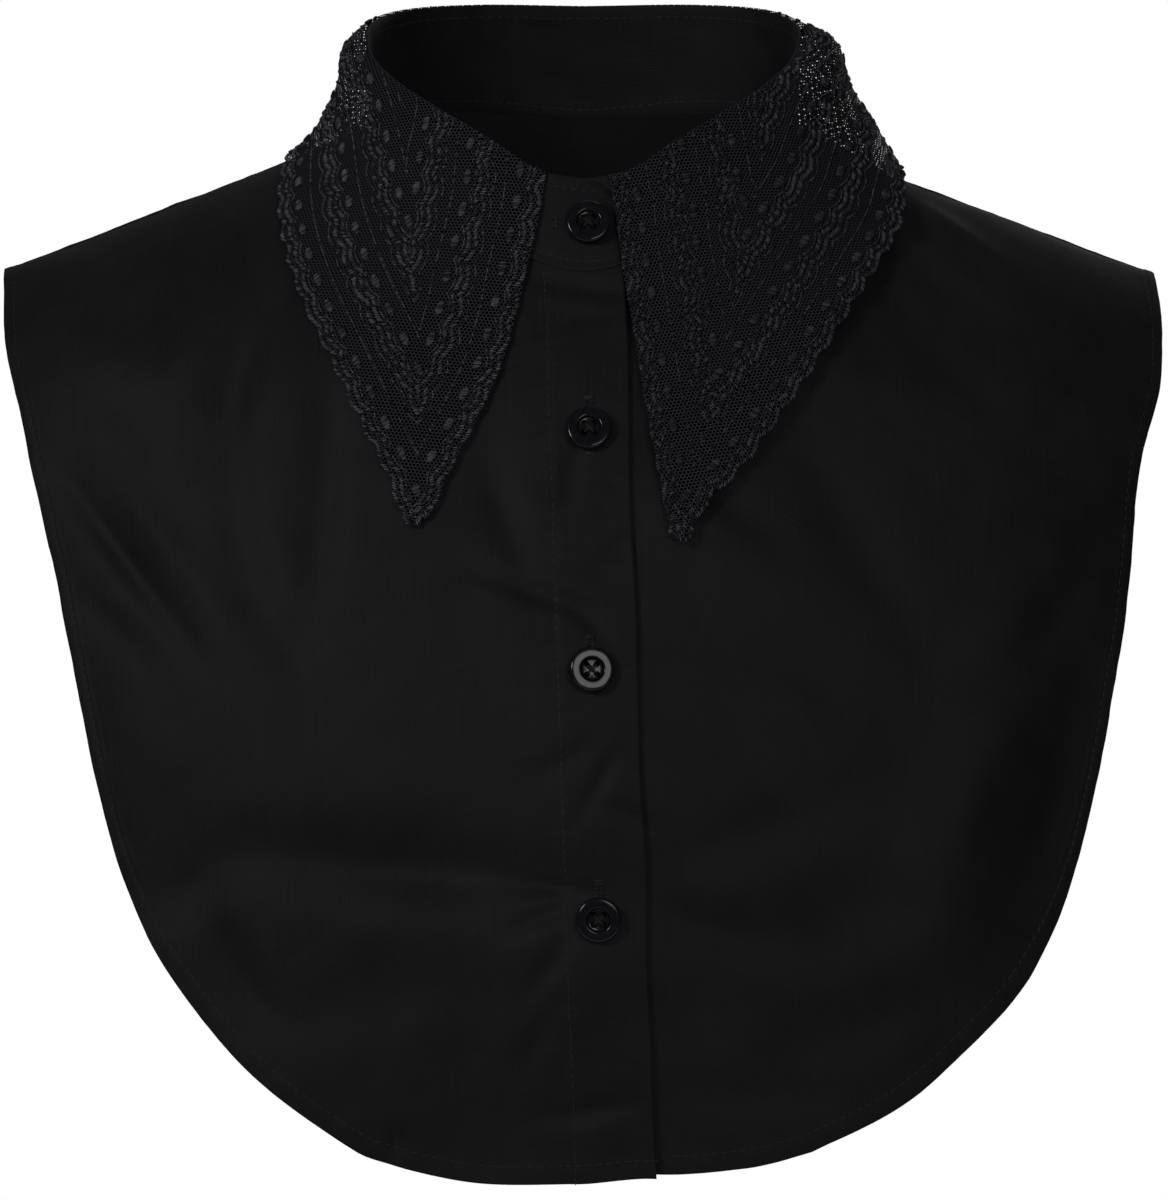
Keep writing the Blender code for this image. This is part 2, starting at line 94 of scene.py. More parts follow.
#                 height  depth
FRONT_PROFILE = (
    (-0.340, 0.121), (-0.250, 0.122), (-0.190, 0.117), (-0.140, 0.106), (-0.090, 0.088), (-0.045, 0.067),
    (0.000, 0.056), (0.050, 0.051),
)
BACK_PROFILE = (
    (-0.340, 0.088), (-0.240, 0.095), (-0.170, 0.097), (-0.110, 0.092), (-0.060, 0.081), (-0.020, 0.066),
    (0.005, 0.055), (0.050, 0.051),
)
#                 across  height, from the middle of the hem to the shoulder
CUT_EDGE = {
    (RIGHT, True): (
        (-0.0212, -0.3143), (0.0030, -0.3159), (0.0313, -0.3160), (0.0560, -0.3114), (0.0784, -0.3008),
        (0.1021, -0.2825), (0.1220, -0.2590), (0.1345, -0.2385), (0.1436, -0.2132), (0.1526, -0.1747),
        (0.1634, -0.1276), (0.1725, -0.0914), (0.1796, -0.0638), (0.1827, -0.0465),
    ),
    (LEFT, True): (
        (-0.0100, -0.3120), (0.0218, -0.3134), (0.0463, -0.3120), (0.0648, -0.3079), (0.0893, -0.2972),
        (0.1137, -0.2784), (0.1312, -0.2605), (0.1417, -0.2422), (0.1502, -0.2195), (0.1585, -0.1838),
        (0.1657, -0.1399), (0.1693, -0.1058), (0.1777, -0.0739), (0.1787, -0.0482),
    ),
}
BACK_EDGE = (
    (0.0000, -0.2680), (0.0450, -0.2650), (0.0850, -0.2510), (0.1180, -0.2250), (0.1390, -0.1900),
    (0.1500, -0.1500), (0.1600, -0.1100), (0.1740, -0.0720), (0.1810, -0.0450),
)
CUT_EDGE[RIGHT, False] = CUT_EDGE[LEFT, False] = BACK_EDGE
#                 angle from the front, height
FOLD_HEIGHT = (
    (0, -0.0170), (12, -0.0140), (25, -0.0045), (40, 0.0045), (55, 0.0120), (75, 0.0215), (90, 0.0290),
    (120, 0.0360), (150, 0.0388), (180, 0.0386),
)
#                 angle at the fold, across, height of its end, in front (1) or behind (-1)
LEAF = {
    RIGHT: (
        (9.5, 0.0458, -0.1192, 1), (10.1, 0.0502, -0.1222, 1), (10.8, 0.0548, -0.1202, 1), (16, 0.0588, -0.1090, 1),
        (24, 0.0637, -0.0995, 1), (40, 0.0752, -0.0772, 1), (57, 0.0880, -0.0520, 1), (74, 0.0945, -0.0290, 1),
        (90, 0.0925, -0.0125, 1), (108, 0.0890, -0.0240, -1), (130, 0.0765, -0.0350, -1), (155, 0.0430, -0.0410, -1),
        (180, 0.0000, -0.0420, -1),
    ),
    LEFT: (
        (5.8, 0.0247, -0.1240, 1), (6.3, 0.0280, -0.1280, 1), (7.0, 0.0318, -0.1256, 1), (11, 0.0365, -0.1166, 1),
        (22, 0.0485, -0.1042, 1), (39, 0.0690, -0.0763, 1), (57, 0.0868, -0.0498, 1), (74, 0.0970, -0.0325, 1),
        (90, 0.0985, -0.0190, 1), (108, 0.0950, -0.0290, -1), (130, 0.0805, -0.0370, -1), (155, 0.0430, -0.0410, -1),
        (180, 0.0000, -0.0420, -1),
    ),
}
#                 share of the front edge from the fold, swell towards the middle of the front
SWELL = {
    RIGHT: (
        (0.00, 0.0000), (0.35, 0.0003), (0.50, 0.0017), (0.65, 0.0028), (0.80, 0.0014), (0.90, 0.0000), (1.00, 0.0000),
    ),
    LEFT: (
        (0.00, 0.0000), (0.10, -0.0006), (0.30, -0.0012), (0.50, -0.0015), (0.70, -0.0009), (0.85, -0.0005),
        (1.00, 0.0000),
    ),
}
SWELL_REACH = 0.15
#                 angle, how near to its outer edge the leaf's bend lies, how far it stands up and its fold rolls out
HUG = {
    RIGHT: (
        (0, 0.15, 0.0, 0.0), (35, 0.15, 0.0, 0.0), (65, 0.40, 0.0, 0.0020), (90, 0.57, 0.0008, 0.0040),
        (120, 0.45, 0.0, 0.0020), (150, 0.20, 0.0, 0.0), (180, 0.15, 0.0, 0.0),
    ),
    LEFT: (
        (0, 0.15, 0.0, 0.0), (35, 0.15, 0.0, 0.0), (65, 0.50, 0.006, 0.0030), (90, 0.75, 0.0135, 0.0072),
        (120, 0.55, 0.006, 0.0030), (150, 0.20, 0.0, 0.0), (180, 0.15, 0.0, 0.0),
    ),
}
ROLL_AT = 0.08
#                 x, height, way it runs, length, width, depth: the large creases that the solids have too
FRONT_CREASES = (
    (-0.146, -0.106, -62, 0.085, 0.012, 0.0022), (0.130, -0.060, -38, 0.110, 0.014, 0.0018),
    (0.132, -0.190, -68, 0.120, 0.018, 0.0022), (-0.060, -0.224, 4, 0.130, 0.016, 0.0016),
    (0.085, -0.236, 8, 0.100, 0.014, 0.0014),
)
BACK_CREASES = (
    (-0.105, -0.080, -48, 0.100, 0.014, 0.0018), (0.100, -0.075, 52, 0.110, 0.015, 0.0020),
    (0.020, -0.170, 5, 0.140, 0.018, 0.0016),
)

# %% The figure's surface


def clamp(share):
    return min(max(share, 0.0), 1.0)


def ease(share):
    share = clamp(share)
    return share * share * (3 - 2 * share)


def mix(first, second, share):
    return first + (second - first) * share


def read_curve(rows, at):
    """The values at one place on a smooth curve through the rows, whose first column is the place."""
    last = len(rows) - 1
    low = next((i for i in range(last) if at <= rows[i + 1][0]), last - 1)
    before, start, end, after = (rows[min(max(i, 0), last)] for i in range(low - 1, low + 3))
    width = end[0] - start[0]
    share = clamp((at - start[0]) / width)
    square, cube = share**2, share**3
    found = []
    for column in range(1, len(start)):
        slope_in = (end[column] - before[column]) / (end[0] - before[0]) * width
        slope_out = (after[column] - start[column]) / (after[0] - start[0]) * width
        found.append(
            (2 * cube - 3 * square + 1) * start[column]
            + (cube - 2 * square + share) * slope_in
            + (3 * square - 2 * cube) * end[column]
            + (cube - square) * slope_out
        )
    return found


def by_length(points):
    """The points with a first column added that runs from 0 to 1 with the length of the line through them."""
    reach = [0.0]
    for first, second in zip(points, points[1:]):
        reach.append(reach[-1] + math.dist(first, second))
    return [(length / reach[-1], *point) for length, point in zip(reach, points)]


def shoulder_height(x):
    if abs(x) < NECK_HALF_WIDTH:
        return NECK_CROWN * (1 - (x / NECK_HALF_WIDTH) ** 2)
    hand = LEFT if x > 0 else RIGHT
    drop = SHOULDER_DROP[hand] * ease((abs(x) - DROP_START) / (DROP_END - DROP_START))
    return SHOULDER_SLOPE[hand] * (NECK_HALF_WIDTH - abs(x)) - drop


def turn_radius(x, in_front):
    at_neck = FRONT_TURN if in_front else BACK_TURN
    return mix(at_neck, ARM_TURN, ease((abs(x) - ARM_START) / (ARM_END - ARM_START)))


def crease_depth(creases, x, z):
    depth = 0.0
    for middle_x, middle_z, angle, length, width, deep in creases:
        turn = math.radians(angle)
        along = (x - middle_x) * math.cos(turn) + (z - middle_z) * math.sin(turn)
        across = (z - middle_z) * math.cos(turn) - (x - middle_x) * math.sin(turn)
        fade = 1 - ease(abs(along) / (length / 2))
        depth += deep * fade * math.exp(-((across / width) ** 2))
    return depth


def figure(x, down):
    in_front = down <= 0
    radius = turn_radius(x, in_front)
    turn = min(abs(down) / radius, math.pi / 2)
    z = shoulder_height(x) - radius * (1 - math.cos(turn)) - max(abs(down) - radius * math.pi / 2, 0)
    (depth,) = read_curve(FRONT_PROFILE if in_front else BACK_PROFILE, z)
    plan = (1 - (abs(x) / HALF_BREADTH) ** PLAN_POWER) ** (1 / PLAN_POWER)
    y = (depth * plan - crease_depth(FRONT_CREASES if in_front else BACK_CREASES, x, z)) * math.sin(turn)
    return Vector((x, -y if in_front else y, z))


def outward(x, down):
    step = 0.0005
    middle = down if abs(down) > step else math.copysign(step, down)
    across = figure(x + step, middle) - figure(x - step, middle)
    along = figure(x, middle + step / 2) - figure(x, middle - step / 2)
    return across.cross(along).normalized()


def down_cloth(x, z, in_front):
    radius = turn_radius(x, in_front)
    drop = max(shoulder_height(x) - z, 0)
    if drop >= radius:
        distance = radius * (math.pi / 2 - 1) + drop
    else:
        distance = radius * math.acos(1 - drop / radius)
    return -distance if in_front else distance


@functools.lru_cache(maxsize=None)
def neck_place(angle):
    """Where the neck seam lies on the figure, by the angle from the middle of the front."""
    turn = math.radians(angle)
    x = NECK_HALF_WIDTH * math.sin(turn)
    in_front = math.cos(turn) > 0
    wanted = abs((NECK_FRONT if in_front else NECK_BACK) * math.cos(turn))
    near, far = 0.0, 0.12
    for _ in range(40):
        middle = (near + far) / 2
        reached = abs(figure(x, -middle if in_front else middle).y)
        near, far = (middle, far) if reached < wanted else (near, middle)
    return x, -near if in_front else near


def on_figure(x, down, out):
    return figure(x, down) + outward(x, down) * out


def lap_lift(x):
    return LAP * ease((x + LAP_START) / (LAP_START - LAP_END))


@functools.lru_cache(maxsize=None)
def cut_edge(hand, in_front):
    """A panel's cut edge as x and the way down the cloth, by the share of its length from hem to shoulder."""
    rows = CUT_EDGE[hand, in_front]
    tip = CUT_EDGE[hand, True][-1][0]
    places = []
    for share, across, height in by_length(rows):
        x = hand * across * mix(1, tip / rows[-1][0], ease((share - 0.7) / 0.3))
        places.append((share, x, down_cloth(x, height, in_front)))
    places[-1] = (1.0, hand * tip, 0.0)
    return places


print("figure at the chest, in mm:", [round(1000 * value, 1) for value in figure(0, -0.2)])

# %% The stand and the collar's leaves, on the same figure


def fold_point(angle):
    turn = math.radians(angle)
    (height,) = read_curve(FOLD_HEIGHT, abs(angle) if abs(angle) <= 180 else 360 - abs(angle))
    depth = FOLD_FRONT if math.cos(turn) > 0 else FOLD_BACK
    return Vector((FOLD_HALF_WIDTH * math.sin(turn), -depth * math.cos(turn), height))


def radial(angle):
    return Vector((math.sin(math.radians(angle)), -math.cos(math.radians(angle)), 0))


@functools.lru_cache(maxsize=None)
def stand_base(angle):
    x, down = neck_place(angle)
    return on_figure(x, down, CLOTH + SEAM_GAP) + Vector((0, 0, STAND_LIFT))


def stand_point(turned, height):
    """The stand's inner face: it starts in front, outside, goes round by the wearer's right and ends inside."""
    angle = -turned
    past = max(-turned, turned - 360, 0) / FRONT_LAP_ANGLE
    top = fold_point(angle) - Vector((0, 0, STAND_END_DROP * past**2))
    share = (turned + FRONT_LAP_ANGLE) / (360 + 2 * FRONT_LAP_ANGLE)
    step_out = mix(0.5, -0.5, share) * (STAND_WALL + 3 * SEAM_GAP) - STAND_WALL / 2
    return stand_base(angle).lerp(top, height) + radial(angle) * step_out


def surface_tree(columns, rows, place):
    points = [place(i / columns, j / rows) for i in range(columns + 1) for j in range(rows + 1)]
    faces = []
    for i in range(columns):
        for j in range(rows):
            first = i * (rows + 1) + j
            faces.append((first, first + rows + 1, first + rows + 2, first + 1))
    return BVHTree.FromPolygons(points, faces)


def under_panels(u, v):
    x, down = mix(-0.185, 0.185, u), mix(-0.36, 0.30, v)
    return on_figure(x, down, lap_lift(x) if down < 0 else 0.0)


def under_stand(u, v):
    return stand_point(mix(-FRONT_LAP_ANGLE, 360 + FRONT_LAP_ANGLE, u), 1 - v)


COVERED = (
    (surface_tree(72, 96, under_panels), CLOTH + COLLAR_CLEARANCE),
    (surface_tree(120, 4, under_stand), STAND_WALL + COLLAR_CLEARANCE),
)


@functools.lru_cache(maxsize=None)
def leaf_sections(hand):
    on_cloth = [
        (angle, across, down_cloth(hand * across, height, side == 1)) for angle, across, height, side in LEAF[hand]
    ]
    lengths = by_length([tuple(figure(hand * across, down)) for _, across, down in on_cloth])
    return [(row[0], *place) for row, place in zip(lengths, on_cloth)]


@functools.lru_cache(maxsize=None)
def leaf_line(hand, u):
    """One line down a leaf, from the fold to the outer edge: where it starts, bends and ends."""
    angle, across, down = read_curve(leaf_sections(hand), u)
    edge = on_figure(hand * across, down, CLOTH + LACE)
    start = stand_point(angle if hand == RIGHT else 360 - angle, 1)
    start = start + radial(hand * angle) * (STAND_WALL + SEAM_GAP)
    hugging, lift, roll = read_curve(HUG[hand], angle)
    hug = on_figure(*neck_place(hand * angle), 2 * CLOTH).lerp(edge, hugging) + Vector((0, 0, lift))
    inwards = outward(hand * across, down).cross(Vector((0, 0, 1))).normalized() * hand
    return start, hug, edge, inwards * (1 - ease(u / SWELL_REACH)), radial(hand * angle) * roll


def leaf_point(hand, u, v):
    start, hug, edge, inwards, rolled = leaf_line(hand, u)
    point = start * (1 - v) ** 2 + hug * 2 * v * (1 - v) + edge * v**2 + inwards * read_curve(SWELL[hand], v)[0]
    point += rolled * v / ROLL_AT * math.exp(1 - v / ROLL_AT)
    for tree, clear in COVERED:
        spot, normal, _, away = tree.find_nearest(point)
        height = (point - spot).dot(normal)
        beside = math.sqrt(max(away**2 - height**2, 0))
        wanted = mix(SEAM_GAP, clear, clamp(6 * v)) * (1 - ease(beside / COLLAR_REACH))
        point += normal * max(wanted - height, 0) * (beside < COLLAR_REACH)
    return point


LEAF_COLUMNS, LEAF_ROWS = 220, 72
leaf_grid = {}
for hand in (RIGHT, LEFT):
    leaf_grid[hand] = np.array(
        [[leaf_point(hand, i / LEAF_COLUMNS, j / LEAF_ROWS) for j in range(LEAF_ROWS + 1)] for i in range(LEAF_COLUMNS + 1)]
    )
    front = np.linalg.norm(np.diff(leaf_grid[hand][0], axis=0), axis=1).sum()
    outer = np.linalg.norm(np.diff(leaf_grid[hand][:, -1], axis=0), axis=1).sum()
    print("leaf", hand, "front edge", round(1000 * front), "mm, outer edge", round(1000 * outer), "mm")

# %% [markdown]
# ## Studio
# The photo has a pure white ground and soft light from the upper left. A white world gives the ground, and it
# lights the garment only weakly, so that the large lamp on the left still models the folds. The pale floor is far
# below, because the garment is held at the neck and touches nothing.

# %% Nodes, colours, world, lamps and floor


def add_node(tree, kind, settings, sockets):
    """Adds one shader node with its settings, and gives its sockets their values or links."""
    node = tree.nodes.new("ShaderNode" + kind)
    for name, value in settings.items():
        setattr(node, name, value)
    for name, value in sockets.items():
        if isinstance(value, bpy.types.NodeSocket):
            tree.links.new(value, node.inputs[name])
        else:
            node.inputs[name].default_value = value
    return node


def linear(colour, strength=1.0):
    """An sRGB hex colour as the linear colour that a shader wants."""
    parts = [int(colour[i : i + 2], 16) / 255 for i in (1, 3, 5)]
    parts = [part / 12.92 if part <= 0.04045 else ((part + 0.055) / 1.055) ** 2.4 for part in parts]
    return (*[part * strength for part in parts], 1.0)


world = bpy.data.worlds.new("white_studio")
bpy.context.scene.world = world
world.use_nodes = True
air = world.node_tree
air.nodes.clear()
seen = add_node(air, "LightPath", {}, {})
ambient = add_node(air, "Background", {}, {"Color": linear("#f4f6ff"), "Strength": 0.055})
ground = add_node(air, "Background", {}, {"Color": linear("#ffffff"), "Strength": 1.0})
both = add_node(air, "MixShader", {}, {0: seen.outputs["Is Camera Ray"], 1: ambient.outputs[0], 2: ground.outputs[0]})
add_node(air, "OutputWorld", {}, {"Surface": both.outputs[0]})


def add_lamp(name, place, aim, width, height, watts):
    light = bpy.data.lights.new(name, "AREA")
    light.shape, light.size, light.size_y, light.energy = "RECTANGLE", width, height, watts
    lamp = bpy.data.objects.new(name, light)
    lamp.location = place
    lamp.rotation_euler = (Vector(place) - Vector(aim)).to_track_quat("Z", "Y").to_euler()
    lamp.visible_camera = False
    bpy.context.scene.collection.objects.link(lamp)


add_lamp("key_softbox", (-1.12, -1.34, 0.60), (0, -0.05, -0.10), 0.42, 0.42, 6.7)
add_lamp("fill_softbox", (0.50, -1.75, 0.40), (0, -0.05, -0.10), 0.7, 0.7, 3.6)
add_lamp("top_softbox", (0.1, 0.6, 1.3), (0, 0, -0.1), 0.9, 0.5, 0.9)
add_lamp("back_softbox", (1.15, 1.35, 0.15), (0, 0.05, -0.10), 0.6, 0.6, 5)

FLOOR_HEIGHT = -0.62
build = bmesh.new()
bmesh.ops.create_circle(build, cap_ends=True, segments=96, radius=1.1)
bmesh.ops.translate(build, verts=build.verts[:], vec=(0, 0, FLOOR_HEIGHT))
mesh = bpy.data.meshes.new("floor")
build.to_mesh(mesh)
build.free()
floor = bpy.data.objects.new("floor", mesh)
bpy.context.scene.collection.objects.link(floor)
pale = bpy.data.materials.new("pale_painted_floor")
pale.use_nodes = True
pale.node_tree.nodes["Principled BSDF"].inputs["Base Color"].default_value = linear("#e9e9e7")
pale.node_tree.nodes["Principled BSDF"].inputs["Roughness"].default_value = 0.6
mesh.materials.append(pale)
print("floor at", FLOOR_HEIGHT)

# %% [markdown]
# ## Black cotton poplin
# Poplin is a plain weave of fine combed cotton: each weft thread passes over one warp thread and under the next.
# That gives a matt black with a faint grey sheen where the cloth turns from the eye. Real threads lie 0.25 mm
# apart, too fine for the picture, so they are drawn 0.5 mm apart, with thicker yarns here and there. The pattern
# reads the piece's own flat cut, so it bends with the cloth as a weave does.

# %% Cotton material

THREAD_STEP = 0.0005


def new_material(name, colour, roughness, level):
    material = bpy.data.materials.new(name)
    material.use_nodes = True
    surface = material.node_tree.nodes["Principled BSDF"]
    surface.inputs["Base Color"].default_value = linear(colour)
    surface.inputs["Roughness"].default_value = roughness
    surface.inputs["Specular IOR Level"].default_value = level
    return material, material.node_tree, surface


def woven_cotton(name, dark, light):
    material, tree, surface = new_material(name, dark, 0.62, 0.26)
    surface.inputs["Sheen Weight"].default_value = 0.08
    surface.inputs["Sheen Roughness"].default_value = 0.45
    surface.inputs["Sheen Tint"].default_value = linear("#d8d8dc")
    cut = add_node(tree, "UVMap", {"uv_map": "cut"}, {})
    threads = add_node(tree, "VectorMath", {"operation": "SCALE"}, {0: cut.outputs[0], "Scale": math.pi / THREAD_STEP})
    sides = add_node(tree, "SeparateXYZ", {}, {0: threads.outputs[0]})
    warp = add_node(tree, "Math", {"operation": "SINE"}, {0: sides.outputs["X"]})
    weft = add_node(tree, "Math", {"operation": "SINE"}, {0: sides.outputs["Y"]})
    over = add_node(tree, "Math", {"operation": "MULTIPLY"}, {0: warp.outputs[0], 1: weft.outputs[0]})
    long_way = add_node(tree, "Mapping", {}, {"Vector": cut.outputs[0], "Scale": (1700, 45, 1)})
    cross_way = add_node(tree, "Mapping", {}, {"Vector": cut.outputs[0], "Scale": (38, 1500, 1)})
    warp_yarn = add_node(tree, "TexNoise", {}, {"Vector": long_way.outputs[0], "Scale": 1, "Detail": 1})
    weft_yarn = add_node(tree, "TexNoise", {}, {"Vector": cross_way.outputs[0], "Scale": 1, "Detail": 1})
    yarns = add_node(tree, "Math", {"operation": "ADD"}, {0: warp_yarn.outputs[0], 1: weft_yarn.outputs[0]})
    height = add_node(tree, "Math", {"operation": "MULTIPLY_ADD"}, {0: over.outputs[0], 1: 0.12, 2: yarns.outputs[0]})
    bump = add_node(tree, "Bump", {}, {"Strength": 0.5, "Distance": 0.00014, "Height": height.outputs[0]})
    tree.links.new(bump.outputs[0], surface.inputs["Normal"])
    bloom = add_node(tree, "TexNoise", {}, {"Vector": cut.outputs[0], "Scale": 22, "Detail": 3, "Roughness": 0.6})
    tone = add_node(tree, "Math", {"operation": "MULTIPLY_ADD"}, {0: yarns.outputs[0], 1: 0.35, 2: bloom.outputs[0]})
    spread = add_node(tree, "MapRange", {}, {"Value": tone.outputs[0], "From Min": 0.68, "From Max": 1.05})
    shade = add_node(
        tree, "Mix", {"data_type": "RGBA"}, {0: spread.outputs[0], 6: linear(dark), 7: linear(light)}
    )
    tree.links.new(shade.outputs[2], surface.inputs["Base Color"])
    rough = add_node(tree, "MapRange", {}, {"Value": bloom.outputs[0], "To Min": 0.54, "To Max": 0.74})
    tree.links.new(rough.outputs[0], surface.inputs["Roughness"])
    return material


cotton = woven_cotton("black_cotton_poplin_woven", "#0f0f10", "#1c1c1e")


def twisted_thread(name, dark, light):
    """Cotton thread of two plies twisted together, a little shinier than the cloth."""
    material, tree, surface = new_material(name, dark, 0.55, 0.4)
    surface.inputs["Sheen Weight"].default_value = 0.08
    place = add_node(tree, "TexCoord", {}, {})
    ply = add_node(tree, "TexNoise", {}, {"Vector": place.outputs["Object"], "Scale": 2600, "Detail": 1})
    bump = add_node(tree, "Bump", {}, {"Strength": 0.6, "Distance": 0.0001, "Height": ply.outputs[0]})
    tree.links.new(bump.outputs[0], surface.inputs["Normal"])
    tone = add_node(tree, "Mix", {"data_type": "RGBA"}, {0: ply.outputs[0], 6: linear(dark), 7: linear(light)})
    tree.links.new(tone.outputs[2], surface.inputs["Base Color"])
    return material


sewing_thread = twisted_thread("black_cotton_sewing_thread", "#121213", "#323235")
print("materials:", cotton.name, sewing_thread.name)

# %% [markdown]
# ## Cloth shells
# Every cotton piece is a fine grid whose points lie on the figure, with the hems, the stitch lines and the small
# creases added as heights of a few tenths of a millimetre. The grid is the cloth's outer face, and a Solidify
# modifier gives it its wall. It could be sculpted, but heights worked out from the distance to an edge follow a
# seam exactly. A weight thickens the wall where the cloth is turned in and lies double.

# %% Helpers for cloth and stitches

POPLIN_FACE = 0.0008
POPLIN_WALL = 0.0006
RIPPLE = 0.0011


def ripple(place, size, seed):
    """Soft unevenness from -1 to 1, in patches of about that size in metres."""
    return noise.noise(Vector(place) / size + Vector((seed * 7.1, seed * 3.3, seed * 5.7)))


class SeamLine:
    """A line of points along an edge, which tells how far a point is from it and how far along."""

    def __init__(self, points):
        self.points = points
        self.reach = [0.0]
        for first, second in zip(points, points[1:]):
            self.reach.append(self.reach[-1] + (second - first).length)
        self.tree = KDTree(len(points))
        for number, point in enumerate(points):
            self.tree.insert(point, number)
        self.tree.balance()

    def near(self, point):
        _, number, distance = self.tree.find(point)
        return distance, self.reach[number]


def seam_height(distance, along, wide, seed):
    """How far cloth that is turned in by a width stands out: a double band, a groove under the stitches, puckers."""
    stitch = wide - 0.0009
    band = 0.00030 * (1 - ease((distance - wide + 0.0003) / 0.0010))
    groove = 0.00026 * math.exp(-(((distance - stitch) / 0.0008) ** 2))
    pucker = ripple((along, 0, 0), 0.0055, seed) * math.exp(-(((distance - stitch) / 0.0060) ** 2))
    slant = ripple((along + 0.6 * distance, distance * 0.5, 0), 0.0042, seed + 1)
    return band - groove + 0.00030 * pucker + 0.00016 * slant * math.exp(-((distance / 0.012) ** 2))


def cloth_shell(name, us, vs, point, flat, wall, heart, doubled):
    """A shell of cloth over a grid: point(u, v) gives its outer face and flat(u, v) its place on the flat cut."""
    build = bmesh.new()
    bmesh.ops.create_grid(build, x_segments=len(us) - 1, y_segments=len(vs) - 1, size=0.5)
    where = {}
    for vertex in build.verts:
        i = round((vertex.co.x + 0.5) * (len(us) - 1))
        j = round((vertex.co.y + 0.5) * (len(vs) - 1))
        where[vertex.index] = (us[i], vs[j])
        vertex.co = point(us[i], vs[j])
    build.normal_update()
    facing = sum(face.normal.dot(face.calc_center_median() - heart) * face.calc_area() for face in build.faces)
    if facing < 0:
        bmesh.ops.reverse_faces(build, faces=build.faces[:])
    cut = build.loops.layers.uv.new("cut")
    for face in build.faces:
        for loop in face.loops:
            loop[cut].uv = flat(*where[loop.vert.index])
    build.normal_update()
    tree = BVHTree.FromBMesh(build)
    mesh = bpy.data.meshes.new(name)
    build.to_mesh(mesh)
    build.free()
    mesh.shade_smooth()
    mesh.materials.append(cotton)
    shell = bpy.data.objects.new(name, mesh)
    bpy.context.scene.collection.objects.link(shell)
    weights = {}
    for number, (u, v) in where.items():
        weights.setdefault(round(8 * doubled(u, v)) / 8, []).append(number)
    group = shell.vertex_groups.new(name="doubled")
    for weight, numbers in weights.items():
        group.add(numbers, weight, "REPLACE")
    solid = shell.modifiers.new("wall", "SOLIDIFY")
    solid.thickness, solid.offset = wall, -1
    solid.vertex_group, solid.thickness_vertex_group = "doubled", 0.55
    rounding = shell.modifiers.new("rounded_rim", "BEVEL")
    rounding.width, rounding.segments, rounding.limit_method = 0.00022, 2, "ANGLE"
    rounding.angle_limit = math.radians(50)
    return shell, tree


def capsule(length, width, height, around, along):
    """A small closed stitch that lies along X, as the corner points and faces of one sphere drawn out."""
    build = bmesh.new()
    bmesh.ops.create_uvsphere(build, u_segments=around, v_segments=along, radius=0.5)
    bmesh.ops.rotate(build, verts=build.verts[:], matrix=Matrix.Rotation(math.pi / 2, 3, "Y"))
    bmesh.ops.scale(build, verts=build.verts[:], vec=(length, width, height))
    corners = np.array([vertex.co for vertex in build.verts])
    faces = [[vertex.index for vertex in face.verts] for face in build.faces]
    build.free()
    return corners, faces


def lay_copies(name, shape, spots, alongs, ups, sizes, material, shades):
    """Lays a copy of one small shape at each spot, along one direction and standing up in another."""
    corners, faces = shape
    spots, alongs, ups = np.array(spots), np.array(alongs), np.array(ups)
    alongs = alongs / np.linalg.norm(alongs, axis=1)[:, None]
    ups = ups - alongs * (ups * alongs).sum(1)[:, None]
    ups = ups / np.linalg.norm(ups, axis=1)[:, None]
    axes = np.stack([alongs, np.cross(ups, alongs), ups], axis=1)
    sized = corners[None, :, :] * np.array(sizes)[:, None, :]
    placed = np.einsum("nki,nij->nkj", sized, axes) + spots[:, None, :]
    numbers = np.arange(len(spots)) * len(corners)
    mesh = bpy.data.meshes.new(name)
    mesh.from_pydata(
        placed.reshape(-1, 3).tolist(), [], [[start + corner for corner in face] for start in numbers for face in faces]
    )
    mesh.shade_smooth()
    mesh.materials.append(material)
    shade = mesh.attributes.new("thread_shade", "FLOAT", "POINT")
    shade.data.foreach_set("value", np.repeat(np.array(shades, dtype=np.float32), len(corners)))
    piece = bpy.data.objects.new(name, mesh)
    bpy.context.scene.collection.objects.link(piece)
    print(f"{name}: {len(spots)} copies, {len(mesh.loops) - 2 * len(mesh.polygons)} triangles")
    return piece


def walk(points, step, start=0.0):
    """Evenly spaced places along a line of points, each with the direction of the line there."""
    reach, found = 0.0, []
    wanted = start
    for first, second in zip(points, points[1:]):
        length = (second - first).length
        while length > 0 and wanted <= reach + length:
            found.append((first.lerp(second, (wanted - reach) / length), (second - first).normalized()))
            wanted += step
        reach += length
    return found


def inside_line(places, distance, side):
    """The line on the figure that runs this far inside an edge. Side 1 has the cloth to the left of the edge."""
    found, step = [], 0.0005
    for number, (x, down) in enumerate(places):
        before, after = places[max(number - 1, 0)], places[min(number + 1, len(places) - 1)]
        run = (figure(*after) - figure(*before)).normalized()
        inward = run.cross(outward(x, down)) * side
        lean = step if abs(down) > step else 2 * step
        base = math.copysign(max(abs(down), step), down if down else side)
        by_x = (figure(x + step, base) - figure(x - step, base)) / (2 * step)
        by_down = (figure(x, base) - figure(x, base - math.copysign(lean / 2, base))) / math.copysign(lean / 2, base)
        square = Matrix(((by_x.dot(by_x), by_x.dot(by_down)), (by_x.dot(by_down), by_down.dot(by_down))))
        move = square.inverted() @ Vector((by_x.dot(inward), by_down.dot(inward))) * distance(number / (len(places) - 1))
        found.append((x + move.x, down + move.y))
    return found


STITCH_STEP, STITCH_LONG = 0.0029, 0.0023
sewing = capsule(STITCH_LONG, 0.00042, 0.00036, 6, 5)
chance = random.Random(11)


